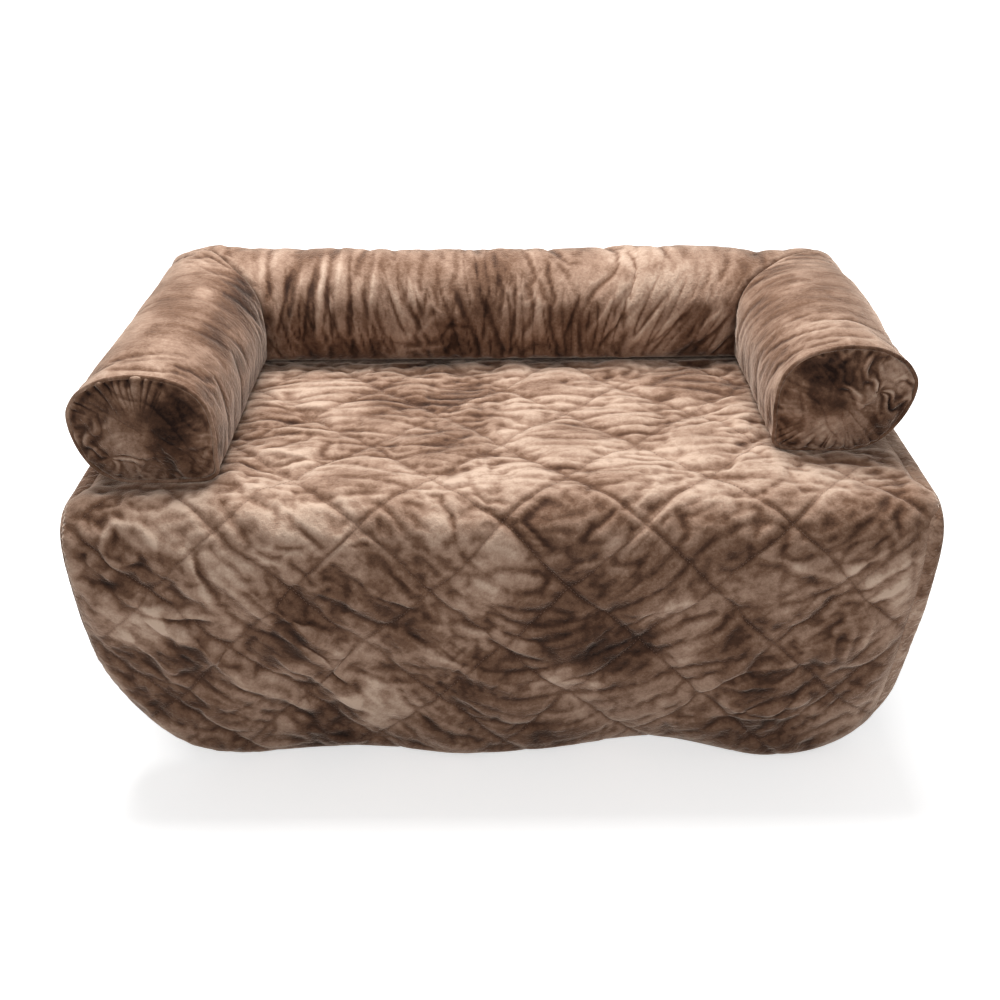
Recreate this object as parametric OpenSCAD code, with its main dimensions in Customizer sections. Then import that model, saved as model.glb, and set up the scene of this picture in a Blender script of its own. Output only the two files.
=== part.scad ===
// Couch protector pet bed: a quilted plush mat with a bolster on three sides.
// It lies on a couch seat, and its front flap hangs over the seat's front edge.
// X runs across the couch, Y towards its back and Z up. The origin is in the
// mat's underside, at the middle of the face that rests on the couch seat.
// A place on the mat is given by u, its distance from the middle, by s, its
// distance along the cloth in front of the couch's edge, and by its height h.

/* [Mat] */
// Width of the mat over its hems
mat_w = 1120; // [1000:5:1400]
// Depth of the open seat, from the couch's front edge to the back bolster
seat_depth = 402; // [330:1:600]
// Thickness of the mat at the crown of a diamond
mat_t = 26; // [21:0.5:36]
// Thickness of the mat along a line of stitches
stitch_t = 13; // [10:0.5:18]
// Thickness of the mat where a bolster presses on it
pressed_t = 18; // [14:0.5:21]
// Width of the hem round the mat
hem_w = 28; // [18:1:40]
// Thickness of the hem
hem_t = 12; // [9:0.5:15]
// Thickness of the plush
plush_t = 3; // [2:0.25:4]
// Thickness of the non-slip backing
backing_t = 2; // [1:0.25:3]

/* [Quilting] */
// Width of one diamond
diamond_w = 181; // [120:1:260]
// Length of one diamond
diamond_l = 188; // [120:1:260]
// Distance from a row of crossings to the couch's edge
crossing_s = 59.8; // [20:0.2:100]
// Width of the strip in which the quilting runs out beside a bolster or hem
run_out_w = 42; // [25:1:60]

/* [Flap] */
// Outer radius of the bend over the couch's edge
bend_r = 64.5; // [50:0.5:90]
// Length of the flap below the bend
flap_l = 373; // [300:1:460]
// Radius of the curve that tucks the flap's lower part under
tuck_r = 1700; // [1200:10:3000]
// Radius of the flap's lower left corner
left_corner_r = 215; // [80:1:240]
// Radius of the flap's lower right corner
right_corner_r = 100; // [60:1:240]
// How far the flap's sides curl back
curl_d = 34; // [0:1:50]
// Width of the strip that curls back at each side
curl_w = 130; // [80:1:200]
// How far the flap's hanging folds swing to and fro
fold_d = 9; // [0:0.5:14]
// Width of one hanging fold
fold_w = 390; // [250:5:600]

/* [Bolster] */
// How far the mat reaches out beyond the bolsters at each side
side_reach = 10; // [0:1:30]
// Width of one bolster
bolster_w = 187; // [150:1:220]
// Height of one bolster
bolster_h = 153; // [120:1:190]
// How far behind the couch's edge the left bolster ends
left_end_s = 35; // [20:1:120]
// How far behind the couch's edge the right bolster ends
right_end_s = 109; // [20:1:150]
// Thickness of a bolster's sleeve
sleeve_t = 4; // [3:0.25:6]
// Depth of the creases in a sleeve
crease_d = 3; // [1:0.25:4]
// Number of creases along the back bolster
back_creases = 7; // [4:1:14]
// Radius of the piping round an end panel
piping_r = 2.75; // [2:0.25:3.5]
// How far an end panel bulges
panel_bulge = 15; // [6:1:25]
// Thickness of an end panel at its edge
panel_t = 3; // [2:0.25:5]

/* [Zip] */
// Length of the zip in the back bolster
zip_l = 600; // [300:10:660]
// Width of one half of the zip's tape
tape_w = 11; // [9:0.5:13]
// Thickness of the tape
tape_t = 1; // [0.8:0.1:1.4]
// Width of the closed row of teeth
teeth_w = 5; // [4:0.25:6]
// Thickness of the row of teeth
teeth_t = 1.8; // [1.4:0.1:2.4]
// Distance from one tooth to the next
tooth_pitch = 5; // [4:0.5:8]
// Length of the slider
slider_l = 14; // [12:0.5:18]
// Length of the pull
pull_l = 34; // [26:1:45]
// Width of the pull
pull_w = 8; // [7:0.5:9]
// Thickness of the pull
pull_t = 1.6; // [1.2:0.1:2]

/* [Hidden] */

plush_colour = [0.54, 0.41, 0.34];
filling_colour = [0.93, 0.92, 0.89];
backing_colour = [0.24, 0.19, 0.17];
metal_colour = [0.45, 0.42, 0.38];

// Clearance between soft pieces that lie against each other
soft_gap = 0.3;
// Running clearance of the zip's slider and of its pull on the pin
run_gap = 0.3;
pin_gap = 0.08;
// How far a cut runs past what it cuts
overrun = 5;
// Grid cells along each side of a diamond's box, and along the whole bend
cells = 4;
bend_cells = 8;
// Least distance between two lines of a grid
min_step = 2;

rest_depth = seat_depth + bolster_w;
edge_y = -rest_depth / 2;
back_y = rest_depth / 2;
bend_in_r = bend_r - mat_t;
bend_l = bend_r * PI / 2;
hinge_s = bend_l / 2;
flap_s = hinge_s + soft_gap;
end_s = bend_l + flap_l;
half_w = mat_w / 2;
layers_u = half_w - hem_w;
cell_u = diamond_w / cells;
cell_s = diamond_l / cells;

// Width of the three bolsters together, across the bed
bolster_span = mat_w - 2 * side_reach;
arm_x = (bolster_span - bolster_w) / 2;
corner_y = back_y - bolster_w / 2;
base_z = pressed_t + soft_gap;
cavity_inset = sleeve_t + crease_d;

// Outline of a bolster from the top, over the outer side and back to the top:
// across in shares of its half width, and up in shares of its height
upright_top_share = 0.62;
upright_foot_share = 0.32;
ring_shares = [[0, 1], [0.42, 0.97], [0.76, 0.87], [0.94, 0.74],
  [1, upright_top_share], [1, upright_foot_share],
  [0.88, 0.12], [0.62, 0.02], [0.26, 0], [-0.26, 0], [-0.62, 0.02], [-0.88, 0.13],
  [-0.99, 0.34], [-0.98, 0.6], [-0.9, 0.76], [-0.7, 0.89], [-0.38, 0.97]];
sides = len(ring_shares);
// The zip runs along the outline's upright stretch, which starts at its point upright_k
upright_k = 4;
upright_share = (upright_top_share + upright_foot_share) / 2;
zip_z = base_z + bolster_h * upright_share;

// Share from 0 to 1 that eases in and out
function ease(x) = let (c = min(1, max(0, x))) c * c * (3 - 2 * c);

// Place on the mat of the point at u, s and h
function on_mat(u, s, h) =
  s < 0 ? [u, edge_y - s, h]
  : s < bend_l ? let (a = s / bend_r * 180 / PI, r = bend_in_r + h)
      [u, edge_y - r * sin(a), -bend_in_r + r * cos(a)]
  : let (b = (s - bend_l) / tuck_r * 180 / PI, r = tuck_r - mat_t + h)
      [u, edge_y - bend_r + tuck_r - r * cos(b) + drape(u, s), -bend_in_r - r * sin(b)];

// How far the hanging flap swings back at u and s
function drape(u, s) =
  let (low = ease((s - bend_l) / flap_l), side = max(0, abs(u) - half_w + curl_w) / curl_w)
    curl_d * low * side * side - fold_d * low * sin(360 * u / fold_w + 120);

// How much of the quilting's height is left at u and s
function run_out(u, s) =
  let (end = u < 0 ? left_end_s : right_end_s,
    beside = (arm_x - bolster_w / 2 - abs(u)) / run_out_w,
    before = (s + end - panel_bulge) / run_out_w,
    behind = (s + seat_depth) / run_out_w)
    min(ease(max(beside, before)), ease(behind));

// Height of the plush at u and s, between the hems
function crown(u, s) =
  let (a = u / diamond_w + (s - crossing_s) / diamond_l,
    b = u / diamond_w - (s - crossing_s) / diamond_l,
    puff = pow(abs(sin(180 * a) * sin(180 * b)), 0.5),
    quilted = stitch_t + (mat_t - stitch_t) * puff,
    flat = pressed_t + (quilted - pressed_t) * run_out(u, s),
    to_hem = min(layers_u - abs(u), s + rest_depth - hem_w, outline_room(u, s)))
    hem_t + (flat - hem_t) * ease(to_hem / run_out_w);

// How far inside the flap's lower edge and corners the point at u and s lies
function outline_room(u, s) =
  let (r = u < 0 ? left_corner_r : right_corner_r,
    across = abs(u) - half_w + r, down = s - end_s + r)
    (across > 0 && down > 0 ? r - norm([across, down]) : end_s - s) - hem_w;

// Grid lines of the quilting between two places, with those places themselves
function lines(from, to, step, phase) =
  let (first = ceil((from - phase) / step), last = floor((to - phase) / step))
    concat([from],
      [for (k = [first:last]) let (p = phase + k * step)
        if (p > from + min_step && p < to - min_step) p],
      [to]);

// Even places from one value to another
function steps(from, to, count) = [for (i = [0:count]) from + (to - from) * i / count];

function after_first(list) = [for (i = [1:len(list) - 1]) list[i]];

// Grid lines along the first and the second half of the bend
seat_bend_lines = steps(bend_l / bend_cells, hinge_s, bend_cells / 2 - 1);
flap_bend_lines = steps(flap_s, bend_l - bend_l / bend_cells, bend_cells / 2 - 1);
seat_lines = concat(lines(-rest_depth + hem_w, 0, cell_s, crossing_s), seat_bend_lines);
flap_lines = concat(flap_bend_lines, lines(bend_l, end_s, cell_s, crossing_s));

// Solid between two sheets of points over the same columns and rows. The
// diagonals follow the quilting's lines.
module sheet_solid(us, ss, top, bottom) {
  nu = len(us);
  ns = len(ss);
  under = nu * ns;
  points = concat(
    [for (s = ss) for (u = us) top(u, s)],
    [for (s = ss) for (u = us) bottom(u, s)]);
  function at(i, j) = j * nu + i;
  // Whether the cell's diagonal runs along one of the stitched lines with rising s
  function rising(i, j) =
    let (u = (us[i] + us[i + 1]) / 2, s = (ss[j] + ss[j + 1]) / 2 - crossing_s,
      a = u / diamond_w - s / diamond_l)
      abs(a - round(a)) < 1 / cells / 2;
  function pair(a, b, c, d, rise) = rise ? [[a, b, c], [a, c, d]] : [[a, b, d], [b, c, d]];
  sheets = [for (j = [0:ns - 2]) for (i = [0:nu - 2])
    let (a = at(i, j), b = at(i + 1, j), c = at(i + 1, j + 1), d = at(i, j + 1), rise = rising(i, j))
      each concat(pair(a, b, c, d, rise),
        [for (t = pair(a, b, c, d, rise)) [t[2] + under, t[1] + under, t[0] + under]])];
  ends = [for (i = [0:nu - 2])
    let (a = at(i, 0), b = at(i + 1, 0), c = at(i, ns - 1), d = at(i + 1, ns - 1))
      each [[b, a, a + under], [b, a + under, b + under],
        [c, d, d + under], [c, d + under, c + under]]];
  edges = [for (j = [0:ns - 2])
    let (a = at(0, j), b = at(0, j + 1), c = at(nu - 1, j), d = at(nu - 1, j + 1))
      each [[a, b, b + under], [a, b + under, a + under],
        [d, c, c + under], [d, c + under, d + under]]];
  polyhedron(points = points, faces = concat(sheets, ends, edges), convexity = 10);
}

// One layer of the mat between two heights, over the seat or the flap
module layer(ss, top_h, bottom_h) {
  sheet_solid(lines(-layers_u, layers_u, cell_u, 0), ss,
    function(u, s) on_mat(u, s, top_h(u, s)),
    function(u, s) on_mat(u, s, bottom_h(u, s)));
}

// Outline of the flap seen from the front, drawn in by an inset
module flap_outline(inset) {
  foot_z = -bend_in_r - (tuck_r - mat_t) * sin(flap_l / tuck_r * 180 / PI);
  difference() {
    translate([-half_w + inset, foot_z + inset])
      square([mat_w - 2 * inset, bend_r - foot_z]);
    for (side = [-1, 1]) {
      r = side < 0 ? left_corner_r : right_corner_r;
      translate([side * (half_w - r), foot_z + r])
        difference() {
          translate([side < 0 ? -r - overrun : 0, -r - overrun])
            square(r + overrun);
          circle(r = r - inset, $fn = 96);
        }
    }
  }
}

// A prism that keeps what lies within the flap's outline
module within_flap(inset) {
  intersection() {
    children();
    translate([0, back_y, 0])
      rotate([90, 0, 0])
        linear_extrude(2 * rest_depth)
          flap_outline(inset);
  }
}

module seat_plush() {
  color(plush_colour)
    layer(seat_lines,
      function(u, s) crown(u, s),
      function(u, s) crown(u, s) - plush_t);
}

module seat_wadding() {
  color(filling_colour)
    layer(seat_lines,
      function(u, s) crown(u, s) - plush_t - soft_gap,
      function(u, s) backing_t + soft_gap);
}

// Profile of the backing across the bed: flat on the couch seat, then the
// first half of the bend
module seat_backing() {
  reach = bend_in_r + backing_t;
  color(backing_colour)
    translate([layers_u, 0, 0])
      rotate([90, 0, -90])
        linear_extrude(2 * layers_u) {
          translate([-back_y + hem_w, 0])
            square([rest_depth - hem_w, backing_t]);
          translate([-edge_y, -bend_in_r])
            intersection() {
              difference() {
                circle(r = reach, $fn = 96);
                circle(r = bend_in_r, $fn = 96);
              }
              polygon([[0, 0], [0, reach + overrun], [reach + overrun, reach + overrun]]);
            }
        }
}

// Hem along the right side of the seat, which follows the first half of the bend
module seat_side_hem() {
  color(plush_colour)
    sheet_solid([layers_u + soft_gap, half_w], concat([-rest_depth, 0], seat_bend_lines),
      function(u, s) on_mat(u, s, hem_t),
      function(u, s) on_mat(u, s, 0));
}

module seat_hem_back() {
  color(plush_colour)
    translate([-layers_u, back_y - hem_w + soft_gap, 0])
      cube([2 * layers_u, hem_w - soft_gap, hem_t]);
}

module flap_plush() {
  color(plush_colour)
    within_flap(hem_w + soft_gap)
      layer(flap_lines,
        function(u, s) crown(u, s),
        function(u, s) crown(u, s) - plush_t);
}

module flap_wadding() {
  color(filling_colour)
    within_flap(hem_w + soft_gap)
      layer(flap_lines,
        function(u, s) crown(u, s) - plush_t - soft_gap,
        function(u, s) backing_t + soft_gap);
}

module flap_backing() {
  color(backing_colour)
    within_flap(hem_w + soft_gap)
      layer(flap_lines, function(u, s) backing_t, function(u, s) 0);
}

module flap_hem() {
  color(plush_colour)
    difference() {
      within_flap(0)
        sheet_solid(
          lines(-half_w, half_w, cell_u, 0), flap_lines,
          function(u, s) on_mat(u, s, hem_t),
          function(u, s) on_mat(u, s, 0));
      translate([0, back_y, 0])
        rotate([90, 0, 0])
          linear_extrude(2 * rest_depth)
            flap_outline(hem_w);
    }
}

// Point of a bolster's outline, drawn in by an inset: out from its centre line, and up
function outline_point(share, inset) =
  [share.x * (bolster_w / 2 - inset), base_z + inset + share.y * (bolster_h - 2 * inset)];

// Point on the right arm. along runs from 0 at its end panel to 1 at the mitre,
// which stands a gap short of the corner.
function arm_point(share, inset, along, front_s, gap) =
  let (p = outline_point(share, inset), front = edge_y + front_s,
    mitre = corner_y + p.x - gap)
    [arm_x + p.x, front + along * (mitre - front), p.y];

// Point on the back bolster. along runs from -1 at the left mitre to 1 at the right.
function back_point(share, inset, along, gap) =
  let (p = outline_point(share, inset))
    [along * (arm_x + p.x - gap), corner_y + p.x, p.y];

// Depth of the sleeve's creases, none where it lies on the mat or carries the zip
function crease(share, along, count) =
  share.x > 0.9 || share.y < 0.1 ? 0
  : crease_d * ease(share.y / 0.6) * (1 - cos(360 * along * count)) / 2;

// Tube between an outer and an inner run of rings, open at both ends. A slit
// may go through its side slit_k, from one ring of slit_is to the other.
module ring_sleeve(shares, alongs, outer, inner, slit_k = -1, slit_is = [0, 0]) {
  m = len(alongs);
  n = len(shares);
  inside = m * n;
  points = concat(
    [for (f = alongs) for (share = shares) outer(share, f)],
    [for (f = alongs) for (share = shares) inner(share, f)]);
  function at(i, k) = i * n + k % n;
  function slit(i, k) = k == slit_k && i >= slit_is[0] && i < slit_is[1];
  function rim(a, b) = [[a, b, b + inside], [a, b + inside, a + inside]];
  walls = [for (i = [0:m - 2]) for (k = [0:n - 1]) if (!slit(i, k))
    let (a = at(i, k), b = at(i, k + 1), c = at(i + 1, k + 1), d = at(i + 1, k))
      each [[a, d, c], [a, c, b],
        [a + inside, c + inside, d + inside], [a + inside, b + inside, c + inside]]];
  rims = [for (k = [0:n - 1])
    each concat(rim(at(0, k), at(0, k + 1)), rim(at(m - 1, k + 1), at(m - 1, k)))];
  slit_rims = slit_k < 0 ? [] : concat(
    [for (i = [slit_is[0]:slit_is[1] - 1])
      each concat(rim(at(i, slit_k), at(i + 1, slit_k)),
        rim(at(i + 1, slit_k + 1), at(i, slit_k + 1)))],
    rim(at(slit_is[0], slit_k + 1), at(slit_is[0], slit_k)),
    rim(at(slit_is[1], slit_k), at(slit_is[1], slit_k + 1)));
  polyhedron(points = points, faces = concat(walls, rims, slit_rims), convexity = 10);
}

// Closed solid over a run of rings
module ring_solid(alongs, outer) {
  m = len(alongs);
  points = [for (f = alongs) for (share = ring_shares) outer(share, f)];
  function at(i, k) = i * sides + k % sides;
  walls = [for (i = [0:m - 2]) for (k = [0:sides - 1])
    let (a = at(i, k), b = at(i, k + 1), c = at(i + 1, k + 1), d = at(i + 1, k))
      each [[a, d, c], [a, c, b]]];
  ends = [[for (k = [0:sides - 1]) k],
    [for (k = [sides - 1:-1:0]) at(m - 1, k)]];
  polyhedron(points = points, faces = concat(walls, ends), convexity = 10);
}

arm_rings = 15;
filling_rings = 4;
arm_creases = 3;

// The slit behind the zip, and the rings of the back sleeve, some of which
// stand at the slit's ends
slit_h = 2;
slit_l = zip_l - 2 * tape_w;
slit_along = slit_l / bolster_span;
slit_share = slit_h / 2 / bolster_h;
back_shares = [for (k = [0:sides - 1])
  each k == upright_k
    ? [ring_shares[k], [1, upright_share + slit_share], [1, upright_share - slit_share]]
    : [ring_shares[k]]];
beside_rings = 7;
slit_rings = 14;
back_alongs = concat(steps(-1, -slit_along, beside_rings),
  after_first(steps(-slit_along, slit_along, slit_rings)),
  after_first(steps(slit_along, 1, beside_rings)));

module arm_sleeve(front_s) {
  color(plush_colour)
    ring_sleeve(ring_shares, steps(0, 1, arm_rings),
      function(share, f)
        arm_point(share, crease(share, f, arm_creases) * ease(f), f, front_s, soft_gap),
      function(share, f) arm_point(share, cavity_inset, f, front_s, soft_gap));
}

module back_sleeve() {
  color(plush_colour)
    ring_sleeve(back_shares, back_alongs,
      function(share, f)
        back_point(share, crease(share, (f + 1) / 2, back_creases), f, 0),
      function(share, f) back_point(share, cavity_inset, f, 0),
      upright_k + 1, [beside_rings, beside_rings + slit_rings]);
}

module arm_filling(front_s) {
  color(filling_colour)
    ring_solid(steps(0, 1, filling_rings),
      function(share, f)
        arm_point(share, cavity_inset + soft_gap, f, front_s + soft_gap, 2 * soft_gap));
}

module back_filling() {
  color(filling_colour)
    ring_solid(steps(-1, 1, filling_rings),
      function(share, f) back_point(share, cavity_inset + soft_gap, f, 0));
}

// Shares of an end panel's size, and of its bulge, from its edge to its middle
panel_shares = [[1, 0], [0.94, 0.45], [0.78, 0.8], [0.5, 0.96], [0.2, 1]];

// Point of an end panel's ring: its outline shrunk about its middle
function panel_point(share, size, y) =
  let (p = outline_point(share, 2 * piping_r + soft_gap), middle_z = base_z + bolster_h / 2)
    [arm_x + size * p.x, y, middle_z + size * (p.y - middle_z)];

module end_panel(front_s) {
  front = edge_y + front_s - soft_gap;
  color(plush_colour)
    ring_solid([for (i = [len(panel_shares) - 1:-1:-1]) i],
      function(share, i) i < 0 ? panel_point(share, 1, front)
        : panel_point(share, panel_shares[i].x,
          front - panel_t - panel_bulge * panel_shares[i].y));
}

// Cord sewn in round an end panel
module end_piping(front_s) {
  facets = 8;
  y = edge_y + front_s - piping_r - soft_gap;
  points = [for (k = [0:sides - 1]) for (c = [0:facets - 1])
    let (a = 360 * c / facets, p = outline_point(ring_shares[k], piping_r - piping_r * cos(a)))
      [arm_x + p.x, y + piping_r * sin(a), p.y]];
  function at(k, c) = (k % sides) * facets + c % facets;
  faces = [for (k = [0:sides - 1]) for (c = [0:facets - 1])
    each [[at(k, c), at(k + 1, c + 1), at(k + 1, c)], [at(k, c), at(k, c + 1), at(k + 1, c + 1)]]];
  color(plush_colour)
    polyhedron(points = points, faces = faces, convexity = 10);
}

tape_y = back_y + tape_t;
teeth_y = tape_y + teeth_t;
tape_split = soft_gap;

module zip_tapes() {
  color(plush_colour)
    for (up = [0, 1])
      mirror([0, 0, up])
        translate([-zip_l / 2, back_y, (1 - 2 * up) * zip_z + tape_split / 2])
          cube([zip_l, tape_t, tape_w]);
}

// Comb of teeth along the zip's middle
module zip_teeth() {
  tooth_w = tooth_pitch / 2;
  count = floor((zip_l - 4 * tape_w) / tooth_pitch);
  start = -count * tooth_pitch / 2;
  root_t = teeth_t / 2;
  comb = concat(
    [[start, 0]],
    [for (i = [0:count - 1]) let (x = start + i * tooth_pitch)
      each [[x, root_t], [x + tooth_w / 2, root_t], [x + tooth_w / 2, teeth_t],
        [x + tooth_w / 2 + tooth_w, teeth_t], [x + tooth_w / 2 + tooth_w, root_t]]],
    [[start + count * tooth_pitch, root_t], [start + count * tooth_pitch, 0]]);
  color(metal_colour)
    translate([0, tape_y, zip_z - teeth_w / 2])
      linear_extrude(teeth_w)
        polygon(comb);
}

stop_l = 4;
stop_x = zip_l / 2 - 2 * tape_w + stop_l;

module zip_stops() {
  color(metal_colour)
    for (side = [-1, 1])
      translate([side * stop_x - stop_l / 2, tape_y, zip_z - teeth_w])
        cube([stop_l, teeth_t, 2 * teeth_w]);
}

slider_wall = 1.6;
pin_r = 0.9;
lug_t = 1.3;
pull_eye_r = 2.1;
eye_w = 3;
slider_x = stop_x - stop_l / 2 - run_gap - slider_l / 2;
slider_w = teeth_w + 2 * run_gap + 2 * slider_wall;
slider_y = tape_y + run_gap;
plate_y = teeth_y + run_gap;
pin_y = plate_y + slider_wall + run_gap + pull_eye_r;

// Slider round the teeth, with two lugs and the pin that carries the pull
module zip_slider() {
  lug_z = eye_w / 2 + run_gap;
  color(metal_colour) {
    difference() {
      translate([slider_x - slider_l / 2, slider_y, zip_z - slider_w / 2])
        cube([slider_l, plate_y + slider_wall - slider_y, slider_w]);
      translate([slider_x - slider_l / 2 - overrun, slider_y - overrun,
          zip_z - teeth_w / 2 - run_gap])
        cube([slider_l + 2 * overrun, plate_y - slider_y + overrun, teeth_w + 2 * run_gap]);
    }
    for (side = [-1, 1])
      translate([slider_x, pin_y, zip_z + side * (lug_z + lug_t / 2)])
        union() {
          cylinder(r = pull_eye_r, h = lug_t, center = true, $fn = 48);
          translate([-pull_eye_r, plate_y + slider_wall - pin_y - soft_gap, -lug_t / 2])
            cube([2 * pull_eye_r, pin_y - plate_y - slider_wall + soft_gap, lug_t]);
        }
    translate([slider_x, pin_y, zip_z])
      cylinder(r = pin_r, h = 2 * lug_z + lug_t, center = true, $fn = 48);
  }
}

// Pull, lying along the tape towards the left
module zip_pull() {
  neck = pull_eye_r + 1.5 * pull_eye_r;
  color(metal_colour)
    difference() {
      union() {
        translate([slider_x, pin_y, zip_z])
          cylinder(r = pull_eye_r, h = eye_w, center = true, $fn = 48);
        translate([slider_x - neck, pin_y - pull_t / 2, zip_z - eye_w / 2])
          cube([neck, pull_t, eye_w]);
        translate([slider_x - pull_l + pull_w / 2, pin_y - pull_t / 2, zip_z - pull_w / 2])
          cube([pull_l - neck - pull_w / 2 + soft_gap, pull_t, pull_w]);
        translate([slider_x - pull_l + pull_w / 2, pin_y + pull_t / 2, zip_z])
          rotate([90, 0, 0])
            cylinder(r = pull_w / 2, h = pull_t, $fn = 48);
      }
      translate([slider_x, pin_y, zip_z])
        cylinder(r = pin_r + pin_gap, h = eye_w + 2 * overrun, center = true, $fn = 48);
      translate([slider_x - pull_l + pull_w / 2, pin_y + pull_t, zip_z])
        rotate([90, 0, 0])
          cylinder(r = pull_w / 4, h = 2 * pull_t, $fn = 48);
    }
}

seat_plush();
seat_wadding();
seat_backing();
mirror([1, 0, 0]) seat_side_hem();  // seat_hem_left
seat_hem_back();
seat_side_hem();  // seat_hem_right
flap_plush();
flap_wadding();
flap_backing();
flap_hem();
mirror([1, 0, 0]) arm_sleeve(left_end_s);  // left_arm_sleeve
back_sleeve();
arm_sleeve(right_end_s);  // right_arm_sleeve
mirror([1, 0, 0]) arm_filling(left_end_s);  // left_arm_filling
back_filling();
arm_filling(right_end_s);  // right_arm_filling
mirror([1, 0, 0]) end_panel(left_end_s);  // left_end_panel
end_panel(right_end_s);  // right_end_panel
mirror([1, 0, 0]) end_piping(left_end_s);  // left_end_piping
end_piping(right_end_s);  // right_end_piping
zip_tapes();
zip_teeth();
zip_stops();
zip_slider();
zip_pull();
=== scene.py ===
# %% [markdown]
# # A quilted couch bed for a pet
# The real thing is a plush mat that lies on a couch seat and hangs over its
# front edge, with a stuffed bolster sewn along its back and both sides. Nearly
# everything that shows is one kind of cloth, a short crushed plush, so this
# lesson is about padding, wrinkles and nap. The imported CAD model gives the
# frame that every piece is made in, so it is loaded first.

import math
from types import SimpleNamespace

import bmesh
import bpy
import numpy as np
from mathutils import Matrix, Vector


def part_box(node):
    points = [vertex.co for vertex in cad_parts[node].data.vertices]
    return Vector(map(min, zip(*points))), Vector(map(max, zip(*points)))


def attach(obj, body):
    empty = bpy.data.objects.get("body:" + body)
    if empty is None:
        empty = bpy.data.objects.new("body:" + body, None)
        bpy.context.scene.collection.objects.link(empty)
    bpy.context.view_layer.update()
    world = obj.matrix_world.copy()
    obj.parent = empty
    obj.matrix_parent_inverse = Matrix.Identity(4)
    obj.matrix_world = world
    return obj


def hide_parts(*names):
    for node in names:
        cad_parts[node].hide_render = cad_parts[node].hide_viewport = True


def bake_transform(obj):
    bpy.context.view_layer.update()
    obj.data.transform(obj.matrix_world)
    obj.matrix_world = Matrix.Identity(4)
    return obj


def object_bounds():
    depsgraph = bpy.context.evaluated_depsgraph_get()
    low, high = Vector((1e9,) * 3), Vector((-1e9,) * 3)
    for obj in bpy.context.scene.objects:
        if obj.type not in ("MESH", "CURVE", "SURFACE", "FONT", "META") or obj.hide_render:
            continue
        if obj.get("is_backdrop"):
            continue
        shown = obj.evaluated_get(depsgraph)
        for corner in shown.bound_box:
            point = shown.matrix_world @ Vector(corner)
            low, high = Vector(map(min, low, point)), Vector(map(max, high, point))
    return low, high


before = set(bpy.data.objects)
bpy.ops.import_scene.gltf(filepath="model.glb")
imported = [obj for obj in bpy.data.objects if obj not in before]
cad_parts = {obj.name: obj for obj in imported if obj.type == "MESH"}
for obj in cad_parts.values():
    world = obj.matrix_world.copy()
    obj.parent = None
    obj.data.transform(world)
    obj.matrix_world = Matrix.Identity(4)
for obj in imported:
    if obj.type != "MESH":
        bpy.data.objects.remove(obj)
cad_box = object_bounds()
MM = 0.001
print("nodes in the frame:", len(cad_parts))

# %% [markdown]
# ## The camera
# The photograph was taken from in front and above, from about one and a half
# metres. The camera's place, its tilt of 30 degrees, a slight turn and roll,
# and its lens were fitted to points along the bed's edges. It is made first, so
# that every piece can be compared with the photograph as soon as it exists.

# %% Camera
SENSOR, FOCAL_PX, FRAME_PX = 36.0, 1167.4, 1000
camera = bpy.data.objects.new("camera", bpy.data.cameras.new("camera"))
bpy.context.scene.collection.objects.link(camera)
camera.data.sensor_width = SENSOR
camera.data.lens = SENSOR * FOCAL_PX / FRAME_PX
camera.data.clip_end = 100.0
view = Matrix.Translation((0.0034, -1.5925, 0.7593))
for degrees, axis in ((0.22, "Z"), (90 - 30.11, "X"), (-0.61, "Z")):
    view = view @ Matrix.Rotation(math.radians(degrees), 4, axis)
camera.matrix_world = view
bpy.context.scene.camera = camera
bpy.context.scene.view_settings.view_transform = "Standard"
print("lens in mm:", round(camera.data.lens, 2))

# %% [markdown]
# ## The mat as a flat sheet
# A quilted mat is easiest to think of as it was sewn: flat. Here u runs across
# it, s runs forward from the line where it starts to bend over the couch's
# edge, and h is the height above its underside. One function bends a place on
# the flat mat to where it lies on the couch, with the same numbers as the CAD
# source, so seams, hem, backing and stitches all meet. Sizes are in millimetres.

# %% Measures of the mat
HALF_W = 560.0
REST_DEPTH = 589.0
EDGE_Y = -294.5
MAT_T = 26.0
BEND_R = 64.5
BEND_IN_R = BEND_R - MAT_T
BEND_L = BEND_R * math.pi / 2
FLAP_L = 373.0
END_S = BEND_L + FLAP_L
TUCK_R = 1700.0
CURL_D, CURL_W = 34.0, 130.0
FOLD_D, FOLD_W = 9.0, 390.0
HEM_W = 28.0
LEFT_CORNER_R, RIGHT_CORNER_R = 215.0, 100.0
DIAMOND_W, DIAMOND_L, CROSSING_S = 181.0, 188.0, 59.8
MIDDLE_S = -57.0
ARM_IN = 363.0
SEAT_DEPTH = 402.0
LEFT_END_S, RIGHT_END_S = 35.0, 109.0


def ease(t):
    """Goes softly from 0 to 1 as t does."""
    t = np.clip(t, 0.0, 1.0)
    return t * t * (3 - 2 * t)


def drape(u, s):
    """How far the hanging flap waves, and curls back at its sides."""
    low = ease((s - BEND_L) / FLAP_L)
    side = np.maximum(0, np.abs(u) - HALF_W + CURL_W) / CURL_W
    return (CURL_D * low * side ** 2
            - FOLD_D * low * np.sin(2 * np.pi * u / FOLD_W + math.radians(120)))


def tuck_under(u, s):
    """The flap's lower edge turns under right of the middle and juts out
    again further right: how far back and how far up a point goes."""
    low = ease((s - 380) / 95)
    back = 13 * np.exp(-((u - 230) / 95) ** 2) - 9 * np.exp(-((u - 385) / 70) ** 2)
    return low * back, low * back * 0.35


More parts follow.
